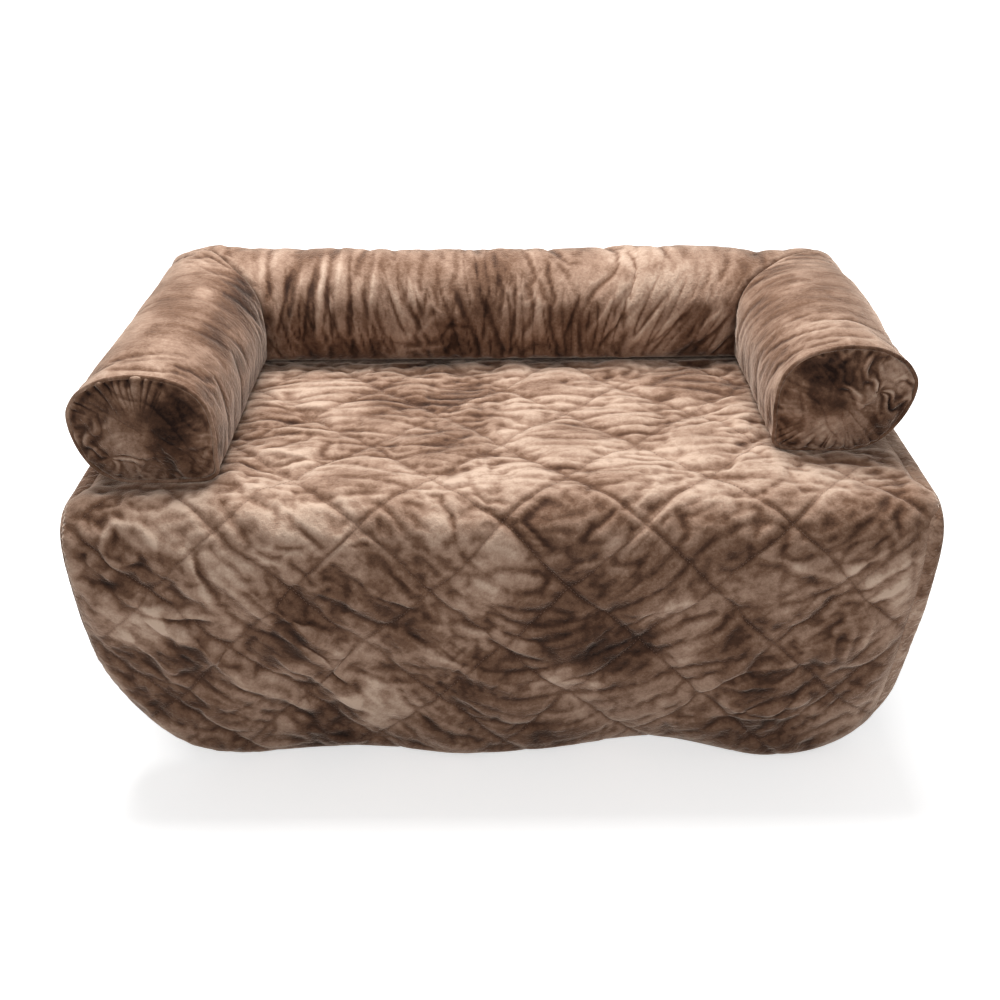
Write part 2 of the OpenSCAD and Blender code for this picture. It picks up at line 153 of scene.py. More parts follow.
def on_mat(u, s, h):
    """The place of a point of the flat mat on the couch, in millimetres."""
    u, s, h = np.broadcast_arrays(*(np.asarray(v, float) for v in (u, s, h)))
    turn = np.clip(s, 0, BEND_L) / BEND_R
    swing = np.maximum(s - BEND_L, 0) / TUCK_R
    on_seat, in_bend = s < 0, s < BEND_L
    hang_r = TUCK_R - MAT_T + h
    back, up = tuck_under(u, s)
    y = np.where(on_seat, EDGE_Y - s, np.where(
        in_bend, EDGE_Y - (BEND_IN_R + h) * np.sin(turn),
        EDGE_Y - BEND_R + TUCK_R - hang_r * np.cos(swing) + drape(u, s) + back))
    z = np.where(on_seat, h, np.where(
        in_bend, -BEND_IN_R + (BEND_IN_R + h) * np.cos(turn),
        -BEND_IN_R - hang_r * np.sin(swing) + up))
    return np.stack([u, y, z], -1)


def room_inside(u, s):
    """How far a point of the flat mat is inside the mat's outline."""
    r = np.where(u < 0, LEFT_CORNER_R, RIGHT_CORNER_R)
    across, down = np.abs(u) - HALF_W + r, s - END_S + r
    straight = np.minimum(HALF_W - np.abs(u), np.minimum(END_S - s, s + REST_DEPTH))
    return np.where((across > 0) & (down > 0), r - np.hypot(across, down), straight)


print("mat is", 2 * HALF_W, "wide and", round(REST_DEPTH + END_S), "long")

# %% [markdown]
# ## Unevenness
# Plush never lies even. The wrinkles start from gradient noise, which is
# written here with numpy so that thousands of points are done at once, and
# from folds that are placed where the photograph shows a strong one.
# Every random number has a seed, so each run gives the same bed.

# %% Noise and folds
SHUFFLE = np.random.default_rng(7).permutation(256)
LEANS = np.random.default_rng(8).uniform(0, 2 * np.pi, 256)


def wave(x, y, seed=0):
    """Smooth noise from about -0.7 to 0.7 with one swell per unit."""
    x, y = np.broadcast_arrays(np.asarray(x, float), np.asarray(y, float))
    xi, yi = np.floor(x).astype(int), np.floor(y).astype(int)
    xf, yf = x - xi, y - yi

    def corner(dx, dy):
        slant = LEANS[SHUFFLE[(SHUFFLE[(xi + dx + seed * 17) & 255] + yi + dy) & 255]]
        return np.cos(slant) * (xf - dx) + np.sin(slant) * (yf - dy)

    wx, wy = (t * t * t * (t * (t * 6 - 15) + 10) for t in (xf, yf))
    low = corner(0, 0) * (1 - wx) + corner(1, 0) * wx
    high = corner(0, 1) * (1 - wx) + corner(1, 1) * wx
    return low * (1 - wy) + high * wy


def ridges(x, y, seed=0):
    """Sharp crests with wide hollows between, from about -1 to 1."""
    return 1 - 3.2 * np.abs(wave(x, y, seed))


def creases(x, y, seed=0, width=0.1):
    """Wide pillows of height 1 with narrow creases of height 0 between."""
    return 1 - np.exp(-np.abs(wave(x, y, seed)) / width)


def folds(p, q, lines):
    """Height of listed folds, each from (p0, q0) to (p1, q1), with its width and height. The ends
    fade, a fold wanders a little, and it is steeper on the side that lies to the right of its way."""
    total = np.zeros_like(p)
    for k, (p0, q0, p1, q1, width, height) in enumerate(lines):
        dp, dq = p1 - p0, q1 - q0
        size = math.hypot(dp, dq)
        along = ((p - p0) * dp + (q - q0) * dq) / size
        aside = ((q - q0) * dp - (p - p0) * dq) / size
        aside = aside + 0.6 * width * wave(along / (4 * width), 0.3 + k, 11)
        fade = ease(along / (0.3 * size)) * ease((size - along) / (0.3 * size))
        slope = width * np.where(aside > 0, 0.75, 1.9)
        total += height * fade * np.exp(-(np.abs(aside) / slope) ** 1.25)
    return total


print("noise sample:", round(float(wave(0.4, 0.7)), 4))

# %% [markdown]
# ## Meshes and padding
# A stuffed piece gets its wrinkles from a cloth simulation: the seams are held,
# the cloth between them is cut a few per cent too large, and a light pressure
# from inside pushes it out until it buckles, as real filling does. The movement
# is capped, the result is written back to the mesh, and the Cloth modifier is
# taken off. One subdivision afterwards rounds the small folds.

# %% Mesh helpers
def make_piece(name, points, faces, outward=False):
    """An object at the origin from points in millimetres and faces."""
    mesh = bpy.data.meshes.new(name)
    mesh.from_pydata((np.asarray(points) * MM).tolist(), [], [list(f) for f in faces])
    if outward:
        shell = bmesh.new()
        shell.from_mesh(mesh)
        bmesh.ops.recalc_face_normals(shell, faces=shell.faces)
        shell.to_mesh(mesh)
        shell.free()
    mesh.polygons.foreach_set("use_smooth", [True] * len(mesh.polygons))
    mesh.update()
    piece = bpy.data.objects.new(name, mesh)
    bpy.context.scene.collection.objects.link(piece)
    return piece


def tube_faces(rows, count, closed=False):
    """Faces between rows of points that each go once round a tube."""
    faces = []
    for k in range(rows if closed else rows - 1):
        here, onward = k * count, (k + 1) % rows * count
        for a in range(count):
            b = (a + 1) % count
            faces.append((here + a, here + b, onward + b, onward + a))
    return faces


def read(mesh, what="co"):
    """The points' places in millimetres, or the way that each faces."""
    values = np.zeros(len(mesh.vertices) * 3, np.float32)
    if what == "co":
        mesh.vertices.foreach_get("co", values)
        return values.reshape(-1, 3).astype(float) / MM
    mesh.vertex_normals.foreach_get("vector", values)
    return values.reshape(-1, 3).astype(float)


def write(mesh, points):
    mesh.vertices.foreach_set("co", (points * MM).astype(np.float32).ravel())
    mesh.update()


def note(mesh, name, values):
    """Keeps one number, or three, at every point of the mesh."""
    values = np.asarray(values, np.float32)
    kind, field = ("FLOAT", "value") if values.ndim == 1 else ("FLOAT_VECTOR", "vector")
    if name in mesh.attributes:
        mesh.attributes.remove(mesh.attributes[name])
    mesh.attributes.new(name, kind, "POINT").data.foreach_set(field, values.ravel())


def noted(mesh, name):
    """What note() kept on the mesh."""
    kept = mesh.attributes[name]
    single = kept.data_type == "FLOAT"
    values = np.zeros(len(kept.data) * (1 if single else 3), np.float32)
    kept.data.foreach_get("value" if single else "vector", values)
    return (values if single else values.reshape(-1, 3)).astype(float)


def bake(piece):
    """Turns what the modifiers make into the piece's own plain mesh."""
    bpy.context.view_layer.update()
    shaped = piece.evaluated_get(bpy.context.evaluated_depsgraph_get())
    mesh = bpy.data.meshes.new_from_object(shaped)
    piece.modifiers.clear()
    old, piece.data = piece.data, mesh
    bpy.data.meshes.remove(old)
    mesh.name = piece.name


def refine(piece):
    """Subdivides the piece once and keeps the result as its mesh."""
    smooth = piece.modifiers.new("Subdivision", "SUBSURF")
    smooth.levels = smooth.render_levels = 1
    bake(piece)
    piece.data.polygons.foreach_set("use_smooth", [True] * len(piece.data.polygons))


def edges_of(mesh):
    ends = np.zeros(len(mesh.edges) * 2, np.int32)
    mesh.edges.foreach_get("vertices", ends)
    return ends.reshape(-1, 2)


def keep_corners(mesh, rings):
    """Keeps the corner sharp along rings of points when the piece is refined."""
    owner = np.full(len(mesh.vertices), -1)
    for number, ring in enumerate(rings):
        owner[ring] = number
    ends = owner[edges_of(mesh)]
    sharp = (ends[:, 0] >= 0) & (ends[:, 0] == ends[:, 1])
    mesh.attributes.new("crease_edge", "FLOAT", "EDGE").data.foreach_set(
        "value", sharp.astype(np.float32))


LONG_EDGE = 14.0


def spread(mesh, values, rounds):
    """Averages a value with its near neighbours' a number of times, but not
    along the long edges of a piece's underside."""
    ends, points = edges_of(mesh), read(mesh)
    ends = ends[np.linalg.norm(points[ends[:, 0]] - points[ends[:, 1]], axis=1) < LONG_EDGE]
    degree = np.bincount(ends.ravel(), minlength=len(mesh.vertices))
    for _ in range(rounds):
        total = np.zeros_like(values)
        np.add.at(total, ends[:, 0], values[ends[:, 1]])
        np.add.at(total, ends[:, 1], values[ends[:, 0]])
        values = 0.5 * values + 0.5 * (total.T / np.maximum(degree, 1)).T
    return values


# The way up and back, towards the overhead lamp: fold slopes that face it get painted light.
LIT_WAY = np.array([-0.1, 0.72, 0.68])


def note_hollows(piece, rounds=14, depth=1.6, slope_light=0.55, crisp=0.0):
    """Notes how deep each point lies below the cloth round it, over a wide and a narrow ring, for
    the plush to darken as painted shade, and adds painted light to the tone: the back and upper
    side of a fold, which faces the overhead lamp, is made paler and the other side darker."""
    mesh = piece.data
    points, out = read(mesh), read(mesh, "normal")
    even, near, wide = (spread(mesh, points, k) for k in (1, 5, rounds))
    gap, near_gap = (((far - close) * out).sum(1)
                     for far, close in ((wide, points), (near, even)))
    note(mesh, "hollow", np.clip(gap / depth, -1.3, 1.3)
         + crisp * np.clip(near_gap / 0.3, -0.6, 1.2))
    # Painted light and shade: a slope that faces up and back towards the lamp more than the cloth
    # round it is made paler, and one that faces away is made darker.
    faces_lamp = out @ LIT_WAY
    slant = faces_lamp - spread(mesh, faces_lamp, 40)
    note(mesh, "lie", noted(mesh, "lie") + slope_light * 0.4 * np.tanh(slant / 0.4))


# %% Cloth simulation
SIM_FRAMES, STIFF = 18, 20.0


def stuff(piece, held, spare, pressure, bending, cap):
    """Lets the piece buckle as cloth. held is 1 where a seam holds it, spare is
    the share by which the cloth is cut too large, and cap is about how far a
    point may move."""
    mesh = piece.data
    start = read(mesh)
    seams = piece.vertex_groups.new(name="seams")
    seams.add(np.nonzero(held)[0].tolist(), 1.0, "REPLACE")
    room = piece.vertex_groups.new(name="room")
    spare = np.broadcast_to(np.asarray(spare, float), (len(start),))
    top = max(float(spare.max()), 1e-4)
    tight = np.round((1 - spare / top) * 10).astype(int)
    for level in range(1, 11):
        chosen = np.nonzero(tight == level)[0]
        if len(chosen):
            room.add(chosen.tolist(), level / 10, "REPLACE")
    cloth = piece.modifiers.new("Cloth", "CLOTH")
    made = cloth.settings
    made.quality = 3
    made.mass = 0.01
    made.tension_stiffness = made.compression_stiffness = STIFF
    made.shear_stiffness = 0.4 * STIFF
    made.bending_stiffness = bending
    made.air_damping = 1.0
    made.tension_damping = made.compression_damping = made.shear_damping = 5.0
    made.bending_damping = 0.5
    made.vertex_group_mass = "seams"
    made.vertex_group_shrink = "room"
    made.shrink_min, made.shrink_max = -top, 0.0
    made.use_pressure = True
    made.uniform_pressure_force = pressure
    made.effector_weights.gravity = 0.0
    cloth.collision_settings.use_collision = False
    cloth.collision_settings.use_self_collision = False
    cloth.point_cache.frame_start, cloth.point_cache.frame_end = 1, SIM_FRAMES
    for number in range(1, SIM_FRAMES + 1):
        bpy.context.scene.frame_set(number)
    shaped = piece.evaluated_get(bpy.context.evaluated_depsgraph_get())
    move = read(shaped.data) - start
    far = np.linalg.norm(move, axis=1) + 1e-9
    print(piece.name, "moved up to", round(far.max(), 1), "mm, mean", round(far.mean(), 2))
    piece.modifiers.remove(cloth)
    piece.vertex_groups.clear()
    bpy.context.scene.frame_set(1)
    write(mesh, start + move * (cap * np.tanh(far / cap) / far)[:, None])


# %% [markdown]
# ## Plush
# Crushed plush is brown cloth with a short pile that leans in patches. Where it
# leans away from you it looks dark, where it leans towards you it looks pale,
# and the border between the two is ragged. That is painted with noise in the
# object's own coordinates, so it stays put in every view. Two numbers that are
# noted on the mesh steer it. One is the patch's general tone together with
# painted light and shade: paler on the seat and on faces turned to the lamp, and
# darker in shaded places. The other, "hollow", is how deep a point sits in a
# crease, which darkens it as painted shade. The sheen of the shader does the rest.

# %% Node helpers
def new_material(name):
    material = bpy.data.materials.new(name)
    material.use_nodes = True
    return material, material.node_tree, material.node_tree.nodes["Principled BSDF"]


def add(tree, kind, inputs=None, **settings):
    """A node with its settings, and with each input set or linked."""
    node = tree.nodes.new(kind)
    for key, value in settings.items():
        setattr(node, key, value)
    for key, value in (inputs or {}).items():
        if hasattr(value, "is_output"):
            tree.links.new(value, node.inputs[key])
        else:
            node.inputs[key].default_value = value
    return node


def sums(tree, operation, a, b=0.0, clamp=False):
    """One Math node."""
    return add(tree, "ShaderNodeMath", {0: a, 1: b}, operation=operation,
               use_clamp=clamp).outputs[0]


def rescale(tree, value, low, high, to_low=0.0, to_high=1.0, soft=True):
    return add(tree, "ShaderNodeMapRange",
               {"Value": value, "From Min": low, "From Max": high,
                "To Min": to_low, "To Max": to_high},
               interpolation_type="SMOOTHSTEP" if soft else "LINEAR").outputs[0]


def paint(rgb):
    """A colour as it looks on screen, as the numbers that the shader needs."""
    linear = [c / 12.92 if c <= 0.04045 else ((c + 0.055) / 1.055) ** 2.4
              for c in (v / 255 for v in rgb)]
    return (*linear, 1.0)


def ramp(tree, value, stops):
    """A colour that runs through the stops as the value grows."""
    node = add(tree, "ShaderNodeValToRGB", {"Fac": value})
    band = node.color_ramp
    while len(band.elements) < len(stops):
        band.elements.new(0.5)
    for element, (place, rgb) in zip(band.elements, stops):
        element.position = place
        element.color = paint(rgb)
    return node.outputs["Color"]


def noise(tree, where, scale, detail, output="Fac", **more):
    return add(tree, "ShaderNodeTexNoise",
               {"Vector": where, "Scale": scale, "Detail": detail, **more}).outputs[output]


def bump(tree, height, strength, distance, **more):
    return add(tree, "ShaderNodeBump", {"Height": height, "Strength": strength,
                                        "Distance": distance, **more}).outputs[0]


def vector(tree, operation, a, b=(0.0, 0.0, 0.0), **more):
    """One Vector Math node."""
    return add(tree, "ShaderNodeVectorMath", {0: a, 1: b, **more},
               operation=operation).outputs[0]


# %% Plush material
PLUSH_TONES = [(0.0, (32, 18, 13)), (0.28, (74, 50, 37)), (0.5, (112, 83, 65)),
               (0.74, (157, 128, 109)), (1.0, (199, 173, 153))]


def crease_lines(tree, source):
    """1 in the narrow creases between small folds, and the swell of the folds."""
    where = add(tree, "ShaderNodeAttribute", attribute_name=source).outputs["Vector"]
    swell = noise(tree, where, 1.0, 1.5, Roughness=0.55, Distortion=0.35)
    off = sums(tree, "ABSOLUTE", sums(tree, "SUBTRACT", swell, 0.5))
    return rescale(tree, off, 0.0, 0.06, 1.0, 0.0), rescale(tree, swell, 0.25, 0.75)


def plush(name, lie=0.0, patches=0.24, streaks=0.08, pull=(1.0, 1.0, 1.0), seed=0.0,
          crumple=0.6, turned=False, sheen=0.9):
    """Crushed plush. patches and streaks are the strength of the broad and the narrow marks in the
    pile, pull stretches them, and crumple is the depth of the small folds, which turn to the
    flap's where turned is set. crumple also sets how much the narrow creases are darkened as
    painted shade."""
    material, tree, skin = new_material(name)
    line, swell = crease_lines(tree, "crumple")
    if turned:
        hang = add(tree, "ShaderNodeAttribute", attribute_name="hang").outputs["Fac"]
        line, swell = (
            add(tree, "ShaderNodeMix", {0: hang, 2: a, 3: b}, data_type="FLOAT").outputs[0]
            for a, b in zip((line, swell), crease_lines(tree, "crumple_turned")))
    relief = sums(tree, "SUBTRACT", swell, sums(tree, "MULTIPLY", line, 0.18))
    place = add(tree, "ShaderNodeTexCoord").outputs["Object"]
    pulled = add(tree, "ShaderNodeMapping",
                 {"Vector": place, "Scale": pull, "Location": (seed, seed * 0.7, -seed)}
                 ).outputs[0]
    swirl = noise(tree, pulled, 30.0, 3.0, "Color", Roughness=0.55)
    shift = vector(tree, "SUBTRACT", swirl, (0.5, 0.5, 0.5))
    ragged = vector(tree, "ADD", pulled, vector(tree, "SCALE", shift, Scale=0.04))
    leans = rescale(tree, noise(tree, ragged, 10.0, 2.5, Roughness=0.5), 0.36, 0.64)
    swipe = rescale(tree, noise(tree, ragged, 34.0, 2.5, Roughness=0.55), 0.34, 0.66)
    tufts = rescale(tree, noise(tree, place, 210.0, 2.0, Roughness=0.6), 0.3, 0.7)
    hairs = rescale(tree, noise(tree, place, 640.0, 1.0, Roughness=0.6), 0.25, 0.75)
    nap = sums(tree, "ADD", sums(tree, "MULTIPLY", tufts, 0.6), sums(tree, "MULTIPLY", hairs, 0.4))
    # The noted tone: the nap's patches together with painted light and shade.
    own = add(tree, "ShaderNodeAttribute", attribute_name="lie").outputs["Fac"]
    hollow = add(tree, "ShaderNodeAttribute", attribute_name="hollow").outputs["Fac"]
    # The tone also carries painted shade: the narrow crease lines darken it, and so does the depth
    # of a point in a hollow.
    tone = sums(tree, "ADD", own, lie - 0.5 * patches - 0.5 * streaks - 0.08)
    for value, share in ((leans, patches), (swipe, streaks), (nap, 0.16),
                         (line, -0.08 * crumple)):
        tone = sums(tree, "ADD", tone, sums(tree, "MULTIPLY", value, share))
    tone = sums(tree, "SUBTRACT", tone, sums(tree, "MULTIPLY", hollow, 0.24), clamp=True)
    tree.links.new(ramp(tree, tone, PLUSH_TONES), skin.inputs["Base Color"])
    grain = sums(tree, "ADD", nap, sums(tree, "MULTIPLY", swipe, 0.7))
    rumple = bump(tree, relief, crumple, 0.004)
    tree.links.new(bump(tree, grain, 0.55, 0.0012, Normal=rumple), skin.inputs["Normal"])
    tree.links.new(rescale(tree, leans, 0, 1, 0.95, 0.8), skin.inputs["Roughness"])
    skin.inputs["Specular IOR Level"].default_value = 0.12
    skin.inputs["Sheen Weight"].default_value = sheen
    skin.inputs["Sheen Roughness"].default_value = 0.35
    skin.inputs["Sheen Tint"].default_value = (1.0, 0.79, 0.65, 1.0)
    return material


mat_plush = plush("mat_plush", patches=0.25, streaks=0.05, pull=(0.9, 1.3, 1.1),
                  crumple=0.14, turned=True)
print("plush tones:", len(PLUSH_TONES))

# %% [markdown]
# ## The quilted mat
# The mat is plush, wadding and backing, sewn through in diamonds. A grid that
# runs along the seams, and not across them, keeps every seam crisp, because
# whole rows of points lie on it. The seams are held, the diamonds puff up, and
# the seat's cloth is cut larger than the flap's, because the photograph shows
# it rippled crosswise, as if pushed together from front to back.

# %% Lattice of the quilting
def lattice(steps, room):
    """Points and faces of a grid along the seams, inside the mat's outline."""
    steps_back, steps_on = 8 * steps, 7 * steps
    i, j = np.meshgrid(np.arange(-steps_back, steps_on + 1),
                       np.arange(-steps_on, steps_back + 1), indexing="ij")
    u = DIAMOND_W * (i + j) / 2 / steps
    s = CROSSING_S + DIAMOND_L * (i - j) / 2 / steps
    mid_u, mid_s = (u[:-1, :-1] + u[1:, 1:]) / 2, (s[:-1, :-1] + s[1:, 1:]) / 2
    kept = room_inside(mid_u, mid_s) > room
    used = np.zeros(i.shape, bool)
    for di in (0, 1):
        for dj in (0, 1):
            used[di:used.shape[0] - 1 + di, dj:used.shape[1] - 1 + dj] |= kept
    number = -np.ones(i.shape, int)
    number[used] = np.arange(used.sum())
    a, b = np.nonzero(kept)
    faces = np.stack([number[a, b], number[a + 1, b],
                      number[a + 1, b + 1], number[a, b + 1]], -1)
    return u[used], s[used], i[used] / steps, j[used] / steps, faces


def rim_of(faces):
    """The loop of points round the border of a patch of faces."""
    pairs = np.concatenate([np.stack([faces[:, k], faces[:, (k + 1) % 4]], -1)
                            for k in range(4)])
    have = set(map(tuple, pairs.tolist()))
    onward = {a: b for a, b in have if (b, a) not in have}
    start = min(onward)
    loop, point = [start], onward[start]
    while point != start:
        loop.append(point)
        point = onward[point]
    return loop


def bearing(places):
    """The angle at which places lie, seen from the middle of the mat."""
    return np.arctan2(places[..., 1] - MIDDLE_S, places[..., 0])


def close_under(top, top_place, top_faces, below_h, steps, room):
    """Adds a plain underside to a patch and closes the rim between them."""
    u, s, _, _, faces = lattice(steps, room)
    loops = []
    for patch, places in ((top_faces, top_place), (faces, np.stack([u, s], -1))):
        loop = np.array(rim_of(patch))
        loop = np.roll(loop, -int(np.argmin(bearing(places[loop]))))
        loops.append((loop, np.unwrap(np.sort(bearing(places[loop])))))
    (fine, fine_turn), (coarse, coarse_turn) = loops
    if bearing(top_place[fine[5]]) < bearing(top_place[fine[0]]):
        fine, coarse = fine[::-1], coarse[::-1]
    shift = len(top)
    ring = []
    a = b = 0
    full_turn = 9.9
    while a < len(fine) or b < len(coarse):
        next_a = fine_turn[a + 1] if a + 1 < len(fine) else full_turn
        next_b = coarse_turn[b + 1] if b + 1 < len(coarse) else full_turn
        here_a, here_b = fine[a % len(fine)], coarse[b % len(coarse)] + shift
        if b >= len(coarse) or (a < len(fine) and next_a <= next_b):
            ring.append((here_a, fine[(a + 1) % len(fine)], here_b))
            a += 1
        else:
            ring.append((here_a, coarse[(b + 1) % len(coarse)] + shift, here_b))
            b += 1
    points = np.concatenate([top, on_mat(u, s, below_h)])
    under = [tuple(f[::-1] + shift) for f in faces]
    return points, [tuple(f) for f in top_faces] + under + ring


mat_u, mat_s, seam_a, seam_b, mat_faces = lattice(20, 5)
print("quilt grid:", len(mat_u), "points,", len(mat_faces), "faces")

# %% [markdown]
# ## How the quilt starts
# Before the simulation the mat has its crowned diamonds, flat where the
# bolsters press on it, and a first trace of ripples for the cloth to follow.

# %% Start shape
def under_bolster(u, s):
    """0 under a bolster and 1 in the open, with a soft border."""
    end = np.where(u < 0, LEFT_END_S, RIGHT_END_S)
    beside = np.maximum((ARM_IN + 28 - np.abs(u)) / 24, (s + end + 8) / 26)
    return np.minimum(ease(beside), ease((s + SEAT_DEPTH + 26) / 26))


def hem_cover(u, s):
    """How far the quilt bulges over the hem: all but the flap's right side."""
    right = ease((u - 440) / 60) * ease((s - 20) / 60) * ease((END_S - 30 - s) / 60)
    return 20 * ease((s + 40) / 60) * (1 - right)


FLAT_H, EDGE_H = 17.5, 7.5


def quilt_height(u, s, a, b):
    """The crowned diamonds, flat under the bolsters and thin at the edge."""
    seat = ease((-s + 40) / 90)
    rising = np.clip(0.35 + 0.8 * wave(u / 120, s / 120, 25) + 0.2 * ease(u / 300), 0.05, 0.8)
    falling = np.clip(0.85 + 0.6 * wave(u / 140, s / 140, 26), 0.3, 1.0)
    puff = ((1 - rising * (1 - np.abs(np.sin(np.pi * a)) ** 0.45))
            * (1 - falling * (1 - np.abs(np.sin(np.pi * b)) ** 0.45)))
    height = 16.0 + 0.4 * seat + (6.5 - 3.2 * seat) * puff
    flat = under_bolster(u, s)
    height = FLAT_H + (height - FLAT_H) * flat
    inside = room_inside(u, s) - HEM_W + hem_cover(u, s)
    round_off = np.sqrt(1 - (1 - np.clip((inside + 9) / 34, 0, 1)) ** 2)
    return EDGE_H + (height - EDGE_H) * round_off


def turned_place(u, s):
    """Across and along the small folds of the flap, which fan out: they run
    down to the right on its left side and up to the right on its right side."""
    slant = np.radians(40 - 72 * ease((u + 160) / 420))
    du, ds = u - 40, s - 240
    return ds * np.cos(slant) - du * np.sin(slant), du * np.cos(slant) + ds * np.sin(slant)


def ripples(u, s):
    """Pillows and creases: crosswise on the seat, slanting on the flap."""
    seat = ease((-s + 50) / 110)
    bent_u = u + 26 * wave(u / 130, s / 110, 22)
    fan = s + 0.06 * u + 20 * wave(u / 150, s / 130, 21) + 5 * wave(u / 40, s / 40, 23)
    on_seat = (4.6 * creases(bent_u / 160, fan / 34, 1, 0.08)
               + 1.6 * creases(bent_u / 100, fan / 19, 2, 0.09))
    across, along = turned_place(u, s)
    across = across + 12 * wave(u / 90, s / 90, 24)
    on_flap = (5.0 * creases(along / 170, across / 52, 3, 0.06)
               + 1.8 * creases(along / 110, across / 27, 4, 0.07))
    return seat * (on_seat - 4.0) + (1 - seat) * (on_flap - 4.2)


def wander(u, s):
    """How far the sewing strays from its drawn line."""
    steady = ease((room_inside(u, s) - HEM_W) / 60)
    return [steady * (11 * wave(u / 130, s / 130, k) + 4 * wave(u / 45, s / 45, k + 2))
            for k in (31, 32)]


stray_u, stray_s = wander(mat_u, mat_s)
place_u, place_s = mat_u + stray_u, mat_s + stray_s
open_mat = under_bolster(place_u, place_s)
on_seam = (np.abs(seam_a - np.round(seam_a)) < 1e-6) | (np.abs(seam_b - np.round(seam_b)) < 1e-6)
start_h = quilt_height(place_u, place_s, seam_a, seam_b)
steady = ease((room_inside(place_u, place_s) - HEM_W + hem_cover(place_u, place_s)) / 26)
start_h = start_h + open_mat * steady * ripples(place_u, place_s) * np.where(on_seam, 0.75, 1.0)
quilt = make_piece("mat_quilt", on_mat(place_u, place_s, start_h), mat_faces)
note(quilt.data, "cloth", np.stack([place_u, place_s, start_h], -1))
note(quilt.data, "seam", np.minimum(np.abs(seam_a - np.round(seam_a)),
                                    np.abs(seam_b - np.round(seam_b))) * 130)
print("quilt stands", round(start_h.min(), 1), "to", round(start_h.max(), 1), "mm high")

# %% [markdown]
# ## Stuffing the quilt
# The seams and everything under the hem and the bolsters are held. After the
# simulation come the folds that the photograph shows at a certain place: long
# slanting ones low on the left of the flap, and a few that run into the corners
# of the arms.

# %% Stuff and fold the quilt
edge_held = room_inside(place_u, place_s) < HEM_W + 2 - hem_cover(place_u, place_s)
held = on_seam | edge_held | (open_mat < 0.25)
seat_share = ease((-place_s + 60) / 120)
stuff(quilt, held, 0.030 + 0.035 * seat_share, pressure=0.6, bending=0.03, cap=6.0)
refine(quilt)

MAT_FOLDS = [
    (-384, 96, -284, 226, 8, 8), (-300, 206, -200, 322, 8, 8), (-360, 112, -196, 284, 7, 9),
    (-430, 206, -350, 306, 8, 10), (-372, 292, -250, 378, 8, 10), (-480, 186, -396, 246, 8, 8),
    (-404, 236, -330, 330, 7, 7), (-314, 246, -176, 384, 8, 9), (-510, 210, -430, 300, 8, 6),
    (-504, 150, -436, 192, 7, 7), (-450, 188, -366, 194, 6, 8), (-366, 188, -402, 84, 6, 8),
    (-450, 100, -380, 170, 9, 5), (-530, 100, -490, 140, 8, 5), (-300, 120, -150, 196, 8, 5),
    (-120, 250, 30, 330, 9, 6), (-60, 210, 70, 280, 8, 5), (-180, 150, -90, 190, 8, 5),
    (40, 300, 150, 330, 8, 5), (150, 200, 320, 160, 9, 5), (215, 392, 375, 222, 13, 6),
    (285, 350, 360, 374, 7, 6), (344, 374, 430, 344, 7, 6), (280, 382, 440, 380, 7, 5),
    (250, 326, 400, 318, 7, 5), (300, 300, 420, 276, 7, 5), (432, 296, 440, 216, 6, 4),
    (452, 284, 462, 206, 6, 4), (478, 266, 484, 196, 6, 3), (452, 166, 524, 110, 6, 4),
    (460, 190, 526, 144, 6, 4), (420, 150, 500, 92, 6, 4), (300, 90, 440, 150, 9, 5),
    (376, -162, 310, -110, 7, -5), (376, -150, 300, -60, 8, 4), (372, -130, 280, -20, 8, 4),
    (372, -180, 290, -150, 7, 4), (372, -210, 280, -170, 7, 5), (372, -240, 260, -204, 6, 4),
    (372, -270, 270, -236, 6, 4), (-372, -60, -290, 20, 9, 5), (-364, -180, -220, -150, 7, 5),
    (-364, -214, -240, -200, 6, -4), (-364, -260, -230, -236, 7, 5), (-364, -120, -240, -80, 8, 5),
    (-366, -90, -250, -30, 6, -4),
]
CURL_AT, CURL_START, CURL_GROWS = (-474, 88), 11.0, 3.9


